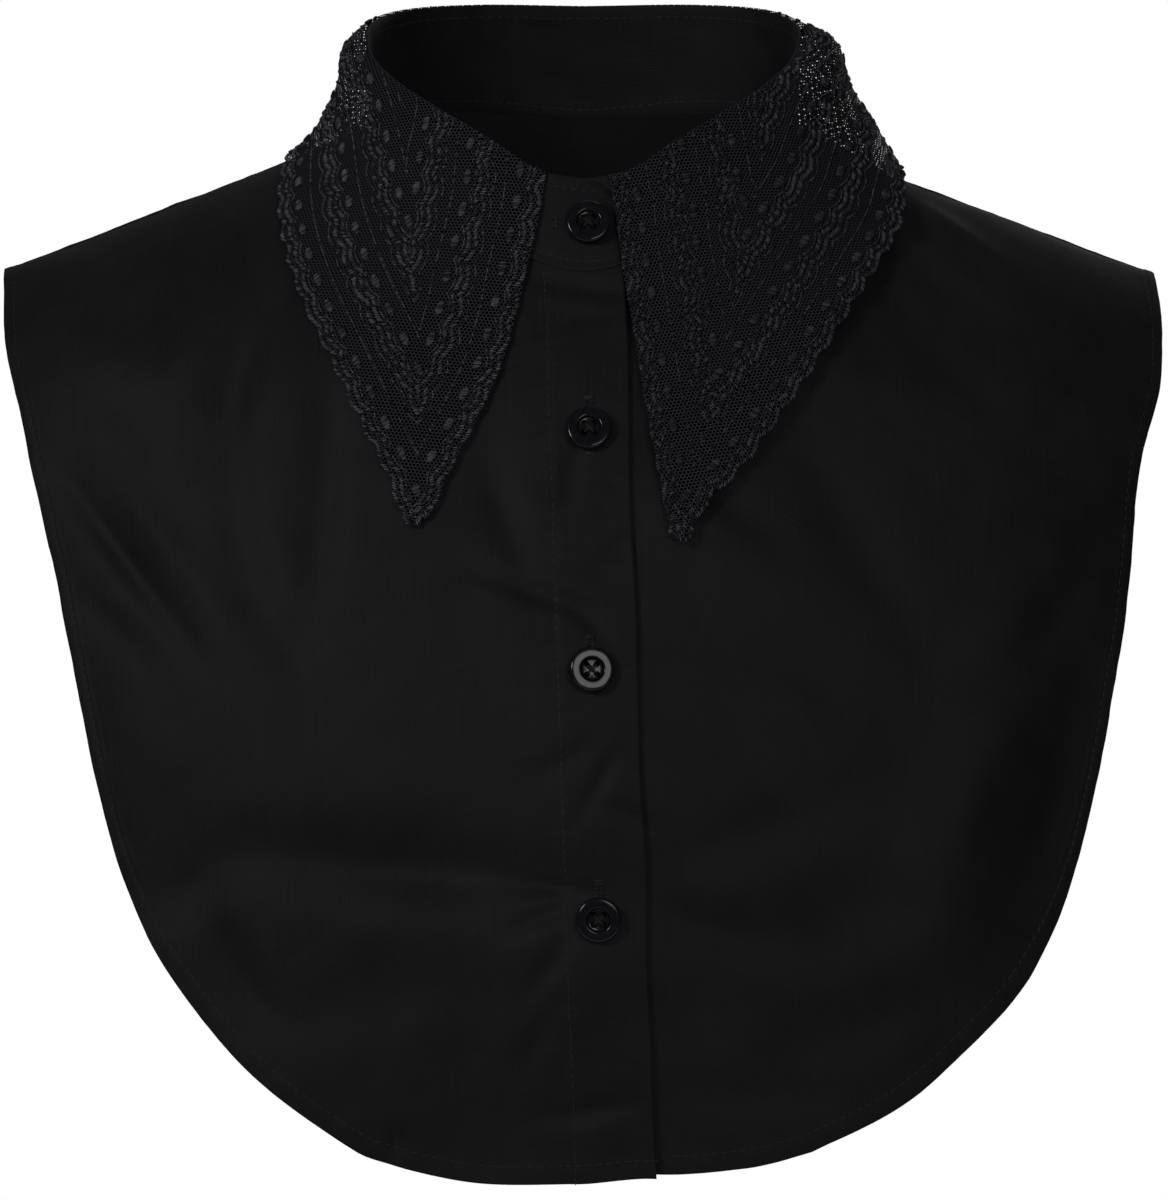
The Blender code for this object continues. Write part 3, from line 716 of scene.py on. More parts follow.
def sew(name, lines, step=STITCH_STEP, sink=0.00003):
    """Topstitching: one thread capsule a stitch, laid on the cloth's own face."""
    spots, alongs, ups, sizes = [], [], [], []
    for tree, points in lines:
        for spot, along in walk(points, step):
            place, normal, _, _ = tree.find_nearest(spot)
            spots.append(place - normal * sink)
            alongs.append(along + Vector([chance.uniform(-0.06, 0.06) for _ in range(3)]))
            ups.append(normal)
            sizes.append((step / STITCH_STEP * chance.uniform(0.92, 1.05), chance.uniform(0.9, 1.15), 1))
    return lay_copies(name, sewing, spots, alongs, ups, sizes, sewing_thread, [0.5] * len(spots))


# %% [markdown]
# ## The two fronts
# Each front is cut in one piece with its facing, which is turned under at the buttoned edge and held by one line
# of topstitching 24 mm in. The hem is turned in twice: 6.5 mm at the bottom and 4 mm up the sides. The grid gets
# a strip of close columns along the buttoned edge and close rows along the hem, where the fine relief lies.

# %% Fronts

FACING = 0.0245
STRIP_COLUMNS, FRONT_COLUMNS, FRONT_ROWS, HEM_ROWS = 30, 190, 150, 9
STRIP_AT_NECK, STRIP_AT_HEM = 0.225, 0.053
#                 x, height, way it runs, length, width, depth: small creases that only the cloth has
SMALL_CREASES = (
    (-0.142, -0.129, -50, 0.120, 0.0042, 0.0025), (-0.131, -0.122, -50, 0.110, 0.0060, -0.0021),
    (-0.150, -0.148, -40, 0.080, 0.0050, 0.0013), (-0.108, -0.079, 70, 0.080, 0.0090, 0.0036),
    (-0.079, -0.113, 85, 0.120, 0.0065, 0.0022), (-0.105, -0.110, -86, 0.110, 0.0065, 0.0016),
    (-0.093, -0.150, -62, 0.100, 0.0080, 0.0020), (-0.047, -0.222, -5, 0.190, 0.0100, 0.0047),
    (-0.118, -0.229, 35, 0.070, 0.0085, 0.0032), (-0.103, -0.259, -60, 0.070, 0.0085, 0.0036),
    (-0.070, -0.262, 12, 0.100, 0.0100, 0.0022), (-0.014, -0.141, -19, 0.064, 0.0030, 0.0014),
    (-0.024, -0.118, -71, 0.064, 0.0055, 0.0020), (0.002, -0.150, -48, 0.036, 0.0032, 0.0011),
    (0.000, -0.051, -8, 0.046, 0.0026, 0.0010), (0.001, -0.060, 6, 0.040, 0.0030, 0.0007),
    (-0.010, -0.227, -6, 0.040, 0.0025, 0.0020), (-0.012, -0.236, 24, 0.042, 0.0025, 0.0018),
    (-0.011, -0.251, 58, 0.040, 0.0032, 0.0016), (-0.014, -0.272, 66, 0.046, 0.0036, 0.0015),
    (0.000, -0.294, 9, 0.048, 0.0032, 0.0021), (0.004, -0.197, 60, 0.042, 0.0028, 0.0012),
    (-0.006, -0.190, 32, 0.040, 0.0030, 0.0009), (0.012, -0.206, -24, 0.034, 0.0028, 0.0009),
    (0.010, -0.128, 40, 0.034, 0.0032, 0.0013), (-0.004, -0.106, 76, 0.042, 0.0036, 0.0015),
    (-0.0575, -0.308, 70, 0.028, 0.0024, 0.0029), (0.112, -0.032, -33, 0.070, 0.0032, -0.0022),
    (0.120, -0.046, -36, 0.110, 0.0065, 0.0026), (0.098, -0.058, -48, 0.100, 0.0065, 0.0021),
    (0.118, -0.200, 70, 0.200, 0.0160, -0.0060), (0.150, -0.200, 74, 0.180, 0.0200, 0.0039),
    (0.142, -0.150, 50, 0.100, 0.0080, 0.0026), (0.051, -0.212, 18, 0.100, 0.0090, 0.0026),
    (0.041, -0.240, -12, 0.100, 0.0090, 0.0028), (0.085, -0.268, 22, 0.100, 0.0090, 0.0022),
    (0.060, -0.160, -32, 0.100, 0.0100, 0.0018), (0.036, -0.108, -40, 0.070, 0.0055, 0.0016),
    (0.080, -0.120, -62, 0.110, 0.0090, 0.0020), (0.052, -0.290, -8, 0.070, 0.0065, 0.0020),
)


def hem_width(share):
    return mix(0.0065, 0.0045, ease((share - 0.42) / 0.12))


def edge_places(hand, in_front, steps=260):
    return [tuple(read_curve(cut_edge(hand, in_front), i / steps)) for i in range(steps + 1)]


def arc_across(steps=400):
    """How far the cloth reaches sideways for each x, so that the weave keeps its scale where the chest turns back."""
    reach, rows = 0.0, [0.0]
    for i in range(steps):
        near, far = (0.19 * (i + k) / steps for k in (0, 1))
        bend = [0.105 * (1 - (x / HALF_BREADTH) ** PLAN_POWER) ** (1 / PLAN_POWER) for x in (near, far)]
        reach += math.hypot(far - near, bend[1] - bend[0])
        rows.append(reach)
    return rows


ACROSS = arc_across()


def flat_across(x):
    spot = min(abs(x) / 0.19 * (len(ACROSS) - 1), len(ACROSS) - 1.001)
    return math.copysign(mix(ACROSS[int(spot)], ACROSS[int(spot) + 1], spot % 1), x)


def make_front(hand):
    edge = cut_edge(hand, True)

    @functools.lru_cache(maxsize=None)
    def column(u):
        if u < STRIP_COLUMNS:
            at_neck, at_hem = (u / STRIP_COLUMNS * share for share in (STRIP_AT_NECK, STRIP_AT_HEM))
        else:
            rest = (u - STRIP_COLUMNS) / (FRONT_COLUMNS - STRIP_COLUMNS)
            rest = 1 - (1 - rest) ** 1.15
            at_neck, at_hem = (mix(share, 1, rest) for share in (STRIP_AT_NECK, STRIP_AT_HEM))
        neck_x, neck_down = neck_place(hand * mix(FRONT_NECK_ANGLE[hand], 90, at_neck))
        return neck_x, neck_down, *read_curve(edge, at_hem)

    @functools.lru_cache(maxsize=None)
    def lie(u, v):
        neck_x, neck_down, hem_x, hem_down = column(u)
        return mix(neck_x, hem_x, v), min(mix(neck_down, hem_down, v), -SEAM_GAP / 2)

    hem = SeamLine([figure(*place) for place in edge_places(hand, True, 420)])
    closing = SeamLine([figure(*lie(0, i / 300)) for i in range(301)])
    total = hem.reach[-1]

    @functools.lru_cache(maxsize=None)
    def point(u, v):
        x, down = lie(u, v)
        if hand == RIGHT and u < STRIP_COLUMNS:
            x += 0.0010 * ripple((0, 0, down), 0.034, 14) * (1 - u / STRIP_COLUMNS)
        base = figure(x, down)
        out = POPLIN_FACE + (lap_lift(x) if hand == RIGHT else 0.0)
        off, along = hem.near(base)
        calm = 0.3 + 0.7 * ease(off / 0.022)
        out += seam_height(off, along, hem_width(along / total), 3 + hand)
        edge_wave = ripple((along, 0, 0), 0.022, 9 + hand) * math.exp(-((off / 0.016) ** 2))
        out += 0.0008 * edge_wave
        off, along = closing.near(base)
        out += seam_height(off, along, FACING, 5 + hand) + 0.0003 * ripple((along, 0, 0), 0.03, 2) * math.exp(-((off / 0.01) ** 2))
        out -= calm * crease_depth(SMALL_CREASES, x, base.z)
        out += calm * RIPPLE * (ripple(base, 0.040, 1) + 0.30 * ripple(base, 0.014, 4))
        return base + outward(x, down) * out

    def doubled(u, v):
        x, down = lie(u, v)
        base = figure(x, down)
        off, along = hem.near(base)
        return float(off < hem_width(along / total) or closing.near(base)[0] < FACING)

    def flat(u, v):
        x, down = lie(u, v)
        return flat_across(x), down

    us = list(range(FRONT_COLUMNS + 1))
    vs = [mix(-0.004, 0.966, i / FRONT_ROWS) for i in range(FRONT_ROWS)]
    vs += [0.966 + 0.034 * i / HEM_ROWS for i in range(HEM_ROWS + 1)]
    name = "right_front_cloth" if hand == RIGHT else "left_front_cloth"
    shell, tree = cloth_shell(name, us, vs, point, flat, 2 * POPLIN_WALL, Vector((0, 0, -0.15)), doubled)
    closing_points = [point(0, i / 200) for i in range(201)]
    facing_line = [on_figure(*lie_place, POPLIN_FACE) for lie_place in facing_places(hand, lie)]
    return shell, tree, facing_line, closing_points


def facing_places(hand, lie):
    edge = [lie(0, i / 120) for i in range(121)]
    return inside_line(edge, lambda share: FACING - 0.0009, 1 if hand == RIGHT else -1)


cloth, faces_of, facing_lines = {}, {}, {}
for hand in (RIGHT, LEFT):
    cloth[hand], faces_of[hand], facing_lines[hand], closing_edge = make_front(hand)
    print(cloth[hand].name, len(cloth[hand].data.polygons), "faces")

# %% [markdown]
# ## The back
# The photo hides the back, so it is a plain shirt back: one piece, with the same narrow hem and a few soft creases
# from the shoulders.

# %% Back

BACK_COLUMNS, BACK_ROWS = 200, 76
SMALL_BACK_CREASES = (
    (-0.080, -0.110, -56, 0.080, 0.0060, 0.0009), (0.075, -0.105, 60, 0.080, 0.0060, 0.0009),
    (0.020, -0.200, 10, 0.090, 0.0070, 0.0008), (-0.060, -0.190, -20, 0.070, 0.0060, 0.0008),
    (0.110, -0.150, 70, 0.080, 0.0070, 0.0009), (-0.115, -0.150, -74, 0.070, 0.0060, 0.0009),
    (0.000, -0.075, 2, 0.060, 0.0050, 0.0006), (-0.020, -0.240, 6, 0.060, 0.0060, 0.0006),
)


@functools.lru_cache(maxsize=None)
def back_column(u):
    share = 1 - (1 - abs(2 * u / BACK_COLUMNS - 1)) ** 1.15
    hand = RIGHT if u < BACK_COLUMNS / 2 else LEFT
    return *neck_place(hand * mix(180, 90, share)), *read_curve(cut_edge(hand, False), share)


@functools.lru_cache(maxsize=None)
def back_lie(u, v):
    neck_x, neck_down, hem_x, hem_down = back_column(u)
    return mix(neck_x, hem_x, v), max(mix(neck_down, hem_down, v), SEAM_GAP / 2)


back_hem_places = edge_places(RIGHT, False)[::-1] + edge_places(LEFT, False)[1:]
back_hem = SeamLine([figure(*place) for place in back_hem_places])
shoulder_seams = {
    hand: SeamLine([figure(hand * mix(0.066, 0.180, i / 80), 0.0) for i in range(81)]) for hand in (RIGHT, LEFT)
}


@functools.lru_cache(maxsize=None)
def back_point(u, v):
    x, down = back_lie(u, v)
    base = figure(x, down)
    off, along = back_hem.near(base)
    side = abs(2 * along / back_hem.reach[-1] - 1)
    out = POPLIN_FACE + seam_height(off, along, hem_width(side), 6)
    out += 0.0007 * ripple((along, 0, 0), 0.022, 8) * math.exp(-((off / 0.016) ** 2))
    off, along = shoulder_seams[RIGHT if x < 0 else LEFT].near(base)
    if abs(x) > NECK_HALF_WIDTH - 0.004:
        out += seam_height(off, along, 0.0085, 12)
    out -= 0.85 * crease_depth(SMALL_BACK_CREASES, x, base.z)
    out += RIPPLE * (ripple(base, 0.045, 5) + 0.35 * ripple(base, 0.014, 7))
    return base + outward(x, down) * out


def back_doubled(u, v):
    x, down = back_lie(u, v)
    off, along = back_hem.near(figure(x, down))
    return float(off < hem_width(abs(2 * along / back_hem.reach[-1] - 1)) or down < 0.0085 and abs(x) > 0.066)


def back_flat(u, v):
    x, down = back_lie(u, v)
    return flat_across(x), down


back_vs = [0.97 * i / BACK_ROWS for i in range(BACK_ROWS)] + [0.97 + 0.03 * i / HEM_ROWS for i in range(HEM_ROWS + 1)]
back_cloth, back_face = cloth_shell(
    "back_cloth", list(range(BACK_COLUMNS + 1)), back_vs, back_point, back_flat, 2 * POPLIN_WALL, Vector((0, -0.02, -0.12)), back_doubled
)
print(back_cloth.name, len(back_cloth.data.polygons), "faces")

# %% [markdown]
# ## Topstitching
# Each line of sewing is a row of short thread capsules 2.9 mm apart, which is about nine stitches an inch. They
# are laid on the cloth's real face, so they dip and rise with its puckers.

# %% Topstitching of the panels


def on_cloth(places):
    return [on_figure(x, down, POPLIN_FACE) for x, down in places]


hem_stitches = {}
for hand in (RIGHT, LEFT):
    places = inside_line(edge_places(hand, True), lambda share: hem_width(share) - 0.0009, -hand)
    hem_stitches[hand] = on_cloth(places)
right_sewing = sew("right_front_topstitching", [(faces_of[RIGHT], hem_stitches[RIGHT]), (faces_of[RIGHT], facing_lines[RIGHT])])
left_sewing = sew("left_front_topstitching", [(faces_of[LEFT], hem_stitches[LEFT])])
back_places = inside_line(back_hem_places, lambda share: hem_width(abs(2 * share - 1)) - 0.0009, 1)
seam_places = {hand: [(hand * mix(0.070, 0.178, i / 40), 0.0076) for i in range(41)] for hand in (RIGHT, LEFT)}
back_sewing = sew(
    "back_topstitching",
    [(back_face, on_cloth(back_places))] + [(back_face, on_cloth(seam_places[hand])) for hand in (RIGHT, LEFT)],
)

# %% [markdown]
# ## The collar stand
# The stand is a doubled band of poplin with interlining, so it stands up by itself. Its front end laps over the
# other one. It is topstitched along the top fold and just above the neck seam, and because it is bent round a
# neck it has short upright puckers and a few soft slanting wrinkles.

# %% Stand

STAND_STEPS, STAND_UP = 420, 20


def stand_face(u, v):
    """The stand's outer face. u counts the steps round it, v runs from the neck seam to the fold."""
    turned = mix(-FRONT_LAP_ANGLE, 360 + FRONT_LAP_ANGLE, u / STAND_STEPS)
    base = stand_point(turned, v)
    out = radial(-turned)
    tall = (stand_point(turned, 1) - stand_point(turned, 0)).length
    off_seam, off_fold, along = v * tall, (1 - v) * tall, math.radians(turned) * 0.062
    groove = math.exp(-(((off_seam - 0.0022) / 0.0009) ** 2)) + math.exp(-(((off_fold - 0.0040) / 0.0009) ** 2))
    pull = math.exp(-(((off_seam - 0.0022) / 0.006) ** 2)) + 0.8 * math.exp(-(((off_fold - 0.0040) / 0.005) ** 2))
    pucker = ripple((along, off_seam * 0.15, 0), 0.0052, 21)
    slant = ripple((along + 0.7 * off_seam, off_seam * 0.8, 0), 0.013, 22)
    soft = ripple((along, off_seam, 0), 0.030, 23)
    wave = 0.00030 * pucker * pull + 0.00055 * slant * math.sin(math.pi * clamp(v)) + 0.0005 * soft * v
    return base + out * (STAND_WALL - 0.0001 - 0.00022 * groove + wave)


def stand_flat(u, v):
    return u / STAND_STEPS * 0.42, 0.5 + v * 0.034


stand_vs = [mix(-0.04, 1, i / STAND_UP) for i in range(STAND_UP + 1)]
stand_cloth, stand_tree = cloth_shell(
    "collar_stand_cloth", list(range(STAND_STEPS + 1)), stand_vs, stand_face, stand_flat, 0.0010, Vector((0, 0, 0)), lambda u, v: 1.0
)
stand_cloth.modifiers["rounded_rim"].width = 0.0004
stand_cloth.modifiers["rounded_rim"].segments = 3


def stand_line(off, from_top, inside):
    """A line of stitches round the stand, this far from its top or its seam, on its outer or inner face."""
    points = []
    for i in range(3, 598):
        turned = mix(-FRONT_LAP_ANGLE, 360 + FRONT_LAP_ANGLE, i / 600)
        low, high = stand_point(turned, 0), stand_point(turned, 1)
        share = off / (high - low).length
        points.append(stand_point(turned, 1 - share if from_top else share) + radial(-turned) * (0 if inside else STAND_WALL))
    return points


class InnerFace:
    """Lets stitches be laid on the inner face, which is one wall behind the outer one."""

    def find_nearest(self, spot):
        place, normal, number, away = stand_tree.find_nearest(spot)
        return place - normal * 0.0010, -normal, number, away


stand_sewing = sew(
    "collar_stand_topstitching",
    [
        (stand_tree, stand_line(0.0022, False, False)),
        (stand_tree, stand_line(0.0040, True, False)),
        (InnerFace(), stand_line(0.0022, False, True)),
        (InnerFace(), stand_line(0.0040, True, True)),
    ],
)

# %% [markdown]
# ## Lace: the surface that it lies on
# The collar is machine embroidery on tulle: a fine net with six-sided holes, which is then covered with motifs in
# satin stitch. Its two leaves turn down from the stand's fold. Their surface is sampled once as a fine grid, from
# the same three-point curves as the solid, and a slow ripple of the free edges is added. All the lace is then
# placed on that grid.

# %% Leaf surface

PILE, FOLD_ROWS = 0.00045, 26


def with_normals(grid):
    by_u = np.gradient(grid, axis=0)
    by_v = np.gradient(grid, axis=1)
    normals = np.cross(by_u, by_v)
    normals /= np.linalg.norm(normals, axis=2)[:, :, None] + 1e-12
    heart = np.array((0.0, 0.0, -0.10))
    flip = np.sign(((grid - heart) * normals).sum())
    return normals * flip


def carried_over(grid):
    """The leaf with rows added straight on above the fold, so that the fold can cut the pattern off."""
    slope = (grid[:, 2] - grid[:, 0]) / 2
    return np.concatenate([np.stack([grid[:, 0] - slope * k for k in range(FOLD_ROWS, 0, -1)], axis=1), grid], axis=1)


lace_grid, lace_normals = {}, {}
for hand in (RIGHT, LEFT):
    grid, normals = leaf_grid[hand], with_normals(leaf_grid[hand])
    lift = np.array(
        [
            [PILE + 0.00035 * (j / LEAF_ROWS) ** 2 * (1 + ripple(grid[i, j], 0.020, 31 + hand)) for j in range(LEAF_ROWS + 1)]
            for i in range(LEAF_COLUMNS + 1)
        ]
    )
    lace_grid[hand] = carried_over(grid + normals * lift[:, :, None])
    lace_normals[hand] = np.concatenate([np.repeat(normals[:, :1], FOLD_ROWS, axis=1), normals], axis=1)


def read_grid(grid, u, v):
    """The grid's values between its points, for arrays of u and v from 0 to 1."""
    steps_u, steps_v = grid.shape[0] - 1, grid.shape[1] - 1
    fu, fv = np.clip(u, 0, 1) * steps_u, np.clip(v, 0, 1) * steps_v
    i, j = np.minimum(fu.astype(int), steps_u - 1), np.minimum(fv.astype(int), steps_v - 1)
    a, b = (fu - i)[..., None], (fv - j)[..., None]
    return (grid[i, j] * (1 - a) + grid[i + 1, j] * a) * (1 - b) + (grid[i, j + 1] * (1 - a) + grid[i + 1, j + 1] * a) * b


def on_leaf(grid, u, v):
    """The leaf's values where v is 0 at the fold, 1 at the outer edge and less than 0 above the fold."""
    return read_grid(grid, u, (v * LEAF_ROWS + FOLD_ROWS) / (LEAF_ROWS + FOLD_ROWS))


def unit(vectors):
    return vectors / (np.linalg.norm(vectors, axis=-1, keepdims=True) + 1e-12)


def dot(first, second):
    return (first * second).sum(-1)


# %% [markdown]
# ## Lace: how far a place is from the edges
# The motifs run in rows parallel to the front edge and to the outer edge, nested like the letter V. So the leaf
# gets two maps. Each starts from one edge and walks straight in over the surface, half a millimetre at a time.
# A row at any depth is then a line in such a map, and it ends where the other edge comes nearer.

# %% Maps from the two edges

MAP_STEP, MAP_DEPTH, FOLD_END = 0.0005, 170, -FOLD_ROWS / LEAF_ROWS


def nearest_distances(points, edge):
    tree = KDTree(len(edge))
    for number, point in enumerate(edge):
        tree.insert(point, number)
    tree.balance()
    return np.array([[tree.find(point)[2] for point in row] for row in points])


def map_from_edge(hand, edge, other_edge):
    """Rows of (u, v, distance to the other edge, distance to this edge), one for each place along this edge."""
    grid, normals = lace_grid[hand], lace_normals[hand]
    du, dv = 0.5 / LEAF_COLUMNS, 0.5 / LEAF_ROWS
    u, v, spots = edge
    run = unit(np.gradient(spots, axis=0))
    heading = np.cross(on_leaf(normals, u, v), run)
    centre = on_leaf(grid, np.full_like(u, 0.5), np.full_like(u, 0.3))
    heading *= np.sign(dot(heading, centre - spots).sum())
    places = []
    for _ in range(MAP_DEPTH + 1):
        places.append(np.stack([u, v], axis=-1))
        near_u, near_v = np.clip(u, du, 1 - du), np.clip(v, FOLD_END + dv, 1 - dv)
        by_u = (on_leaf(grid, near_u + du, near_v) - on_leaf(grid, near_u - du, near_v)) / (2 * du)
        by_v = (on_leaf(grid, near_u, near_v + dv) - on_leaf(grid, near_u, near_v - dv)) / (2 * dv)
        normal = unit(np.cross(by_u, by_v))
        heading = unit(heading - normal * dot(heading, normal)[:, None])
        uu, uv_, vv = dot(by_u, by_u), dot(by_u, by_v), dot(by_v, by_v)
        hu, hv = dot(by_u, heading), dot(by_v, heading)
        spread = uu * vv - uv_ * uv_
        u = u + MAP_STEP * (hu * vv - hv * uv_) / spread
        v = v + MAP_STEP * (hv * uu - hu * uv_) / spread
    places = np.stack(places, axis=1)
    over = on_leaf(grid, places[..., 0], places[..., 1])
    return np.concatenate(
        [places, nearest_distances(over, other_edge[2])[..., None], nearest_distances(over, spots)[..., None]], axis=2
    )


def edge_samples(hand, along_outer):
    """Places every millimetre along an edge, from the tip of the leaf. The front edge goes on above the fold."""
    share = np.linspace(0, 1, 1500)
    u, v = (share, np.ones_like(share)) if along_outer else (np.zeros_like(share), 1 + share * (FOLD_END - 1))
    points = on_leaf(lace_grid[hand], u, v)
    reach = np.concatenate([[0], np.cumsum(np.linalg.norm(np.diff(points, axis=0), axis=1))])
    wanted = np.arange(0, reach[-1], 2 * MAP_STEP)
    u, v = np.interp(wanted, reach, u), np.interp(wanted, reach, v)
    return u, v, on_leaf(lace_grid[hand], u, v)


maps = {}
for hand in (RIGHT, LEFT):
    outer_edge, front_edge = edge_samples(hand, True), edge_samples(hand, False)
    maps[hand, "outer"] = map_from_edge(hand, outer_edge, front_edge)
    maps[hand, "front"] = map_from_edge(hand, front_edge, outer_edge)
    print("leaf", hand, "maps", maps[hand, "outer"].shape, maps[hand, "front"].shape)

# %% [markdown]
# ## Lace: rows of the pattern
# From an edge inward, each repeat of this common border pattern has two satin cords side by side, a fine
# scalloped line that follows them, a row of oval satin dots, one in each scallop, a fine straight line, and a
# strip of plain net. The scallops bulge towards the edge round each dot and meet in points between the dots.

# %% Rows

REPEAT, SCALLOP_PITCH, DOTS_IN = 0.0161, 0.0111, 0.0074


class Row:
    """One arm of a row at a depth from its edge, with its length counted from where the two arms meet."""

    def __init__(self, hand, arm, depth):
        self.hand, self.arm, self.depth = hand, arm, depth
        self.table = maps[hand, arm]
        self.a = np.arange(0, self.table.shape[0] - 1, 0.25)
        dots_at = depth + DOTS_IN
        self.empty = dots_at > MAP_DEPTH * MAP_STEP
        u, v, other, own = self.read(self.a, np.full_like(self.a, min(dots_at, MAP_DEPTH * MAP_STEP)))
        meets = np.nonzero((other >= dots_at) & self.nearest(own, dots_at))[0]
        self.empty = self.empty or len(meets) == 0
        u, v, _, _ = self.read(self.a, np.full_like(self.a, depth))
        points = on_leaf(lace_grid[hand], u, v)
        reach = np.concatenate([[0], np.cumsum(np.linalg.norm(np.diff(points, axis=0), axis=1))])
        self.reach = reach - (0 if self.empty else reach[meets[0]])

    def read(self, a, b):
        found = read_grid(self.table, a / (self.table.shape[0] - 1), b / (MAP_DEPTH * MAP_STEP))
        return found[..., 0], found[..., 1], found[..., 2], found[..., 3]

    def nearest(self, own, b):
        """Whether no other part of the same edge is nearer, which it is past a rounded tip."""
        return own >= 0.86 * b - 0.0003

    def line(self, extra, swing, sharp=1.0):
        """Runs of (place, normal) along the row, shifted in by extra, with scallops of this swing."""
        waves = np.abs(np.cos(np.pi * self.reach / SCALLOP_PITCH)) ** sharp - 0.6
        b = self.depth + extra - swing * waves
        u, v, other, own = self.read(self.a, b)
        keep = (other >= b - 0.0004) & self.nearest(own, b) & (v > 0.004) & (v <= 1.0) & (u > -0.001) & (u < 0.9995)
        points, normals = on_leaf(lace_grid[self.hand], u, v), unit(on_leaf(lace_normals[self.hand], u, v))
        runs, current = [], []
        for number, kept in enumerate(keep):
            if kept:
                current.append((Vector(points[number]), Vector(normals[number])))
            elif current:
                runs.append(current)
                current = []
        runs.append(current)
        return [run for run in runs if len(run) > 6]

    def dots(self):
        """The middle of each dot, with the direction of the row and the normal there."""
        found = []
        for number in range(0 if self.arm == "outer" else 1, int(self.reach[-1] / SCALLOP_PITCH) + 1):
            a = np.interp(number * SCALLOP_PITCH, self.reach, self.a)
            a = np.array([a, a + 1.0])
            b = np.full(2, self.depth + DOTS_IN)
            u, v, other, own = self.read(a, b)
            if other[0] < b[0] - 0.002 or not self.nearest(own[0], b[0]) or v[0] < 0.02 or u[0] > 0.9999:
                continue
            points, normals = on_leaf(lace_grid[self.hand], u, v), unit(on_leaf(lace_normals[self.hand], u, v))
            found.append((Vector(points[0]), Vector(points[1] - points[0]).normalized(), Vector(normals[0])))
        return found


def walk_run(run, step, start=0.0):
    """Evenly spaced places along a run, with the direction and the normal there."""
    reach, wanted, found = 0.0, start, []
    for (first, normal), (second, _) in zip(run, run[1:]):
        length = (second - first).length
        while length > 0 and wanted <= reach + length:
            found.append((first.lerp(second, (wanted - reach) / length), (second - first).normalized(), normal))
            wanted += step
        reach += length
    return found


print("rows every", REPEAT * 1000, "mm")

# %% [markdown]
# ## Lace: threads
# A satin cord is hundreds of threads laid across it, side by side, in small bundles. Each bundle is one short
# capsule, a little slanted and never quite like its neighbour, because the uneven angles are what makes satin
# stitch glitter. The fine lines are chain stitch: short capsules end to end.

# %% Embroidery thread material and the threads

# Bright viscose embroidery thread, dyed black: smoother than cotton, so it gives small sharp highlights.
# Its base colour runs from near-black to grey with each bundle's thread_shade: partly random tone from bundle to
# bundle and partly painted glint; the lighter bundles are also made glossier
satin, satin_tree, satin_surface = new_material("black_viscose_embroidery_thread", "#141416", 0.42, 0.5)
shade_read = add_node(satin_tree, "Attribute", {"attribute_name": "thread_shade"}, {})
glint = add_node(satin_tree, "MapRange", {"interpolation_type": "SMOOTHSTEP"}, {"Value": shade_read.outputs["Fac"], "From Min": 0.10})
satin_tone_and_painted_glint = add_node(
    satin_tree, "Mix", {"data_type": "RGBA"}, {0: glint.outputs[0], 6: linear("#0a0a0b"), 7: linear("#6b6b73")}
)
satin_tree.links.new(satin_tone_and_painted_glint.outputs[2], satin_surface.inputs["Base Color"])
satin_rough = add_node(satin_tree, "MapRange", {}, {"Value": shade_read.outputs["Fac"], "To Min": 0.60, "To Max": 0.30})
satin_tree.links.new(satin_rough.outputs[0], satin_surface.inputs["Roughness"])
satin_place = add_node(satin_tree, "TexCoord", {}, {})
fibres = add_node(satin_tree, "TexNoise", {}, {"Vector": satin_place.outputs["Object"], "Scale": 5200, "Detail": 1})
satin_bump = add_node(satin_tree, "Bump", {}, {"Strength": 0.5, "Distance": 0.00008, "Height": fibres.outputs[0]})
satin_tree.links.new(satin_bump.outputs[0], satin_surface.inputs["Normal"])

bundle = capsule(1.0, 1.15, 1.15, 4, 3)
CORD_WIDTH, CORD_STEP, CORD_THICK, CORD_TALL = 0.00180, 0.00080, 0.00056, 0.00080
LINE_STEP, LINE_WIDTH = 0.00088, 0.00050

# Painted shade: the left leaf's thread shades are scaled to 0.7, which darkens their colour, because its threads lie
# turned from the lamps
LEAF_PAINTED_SHADE = {RIGHT: 1.0, LEFT: 0.70}


def turned_across(along, normal, degrees):
    return Matrix.Rotation(math.radians(degrees), 3, normal) @ along


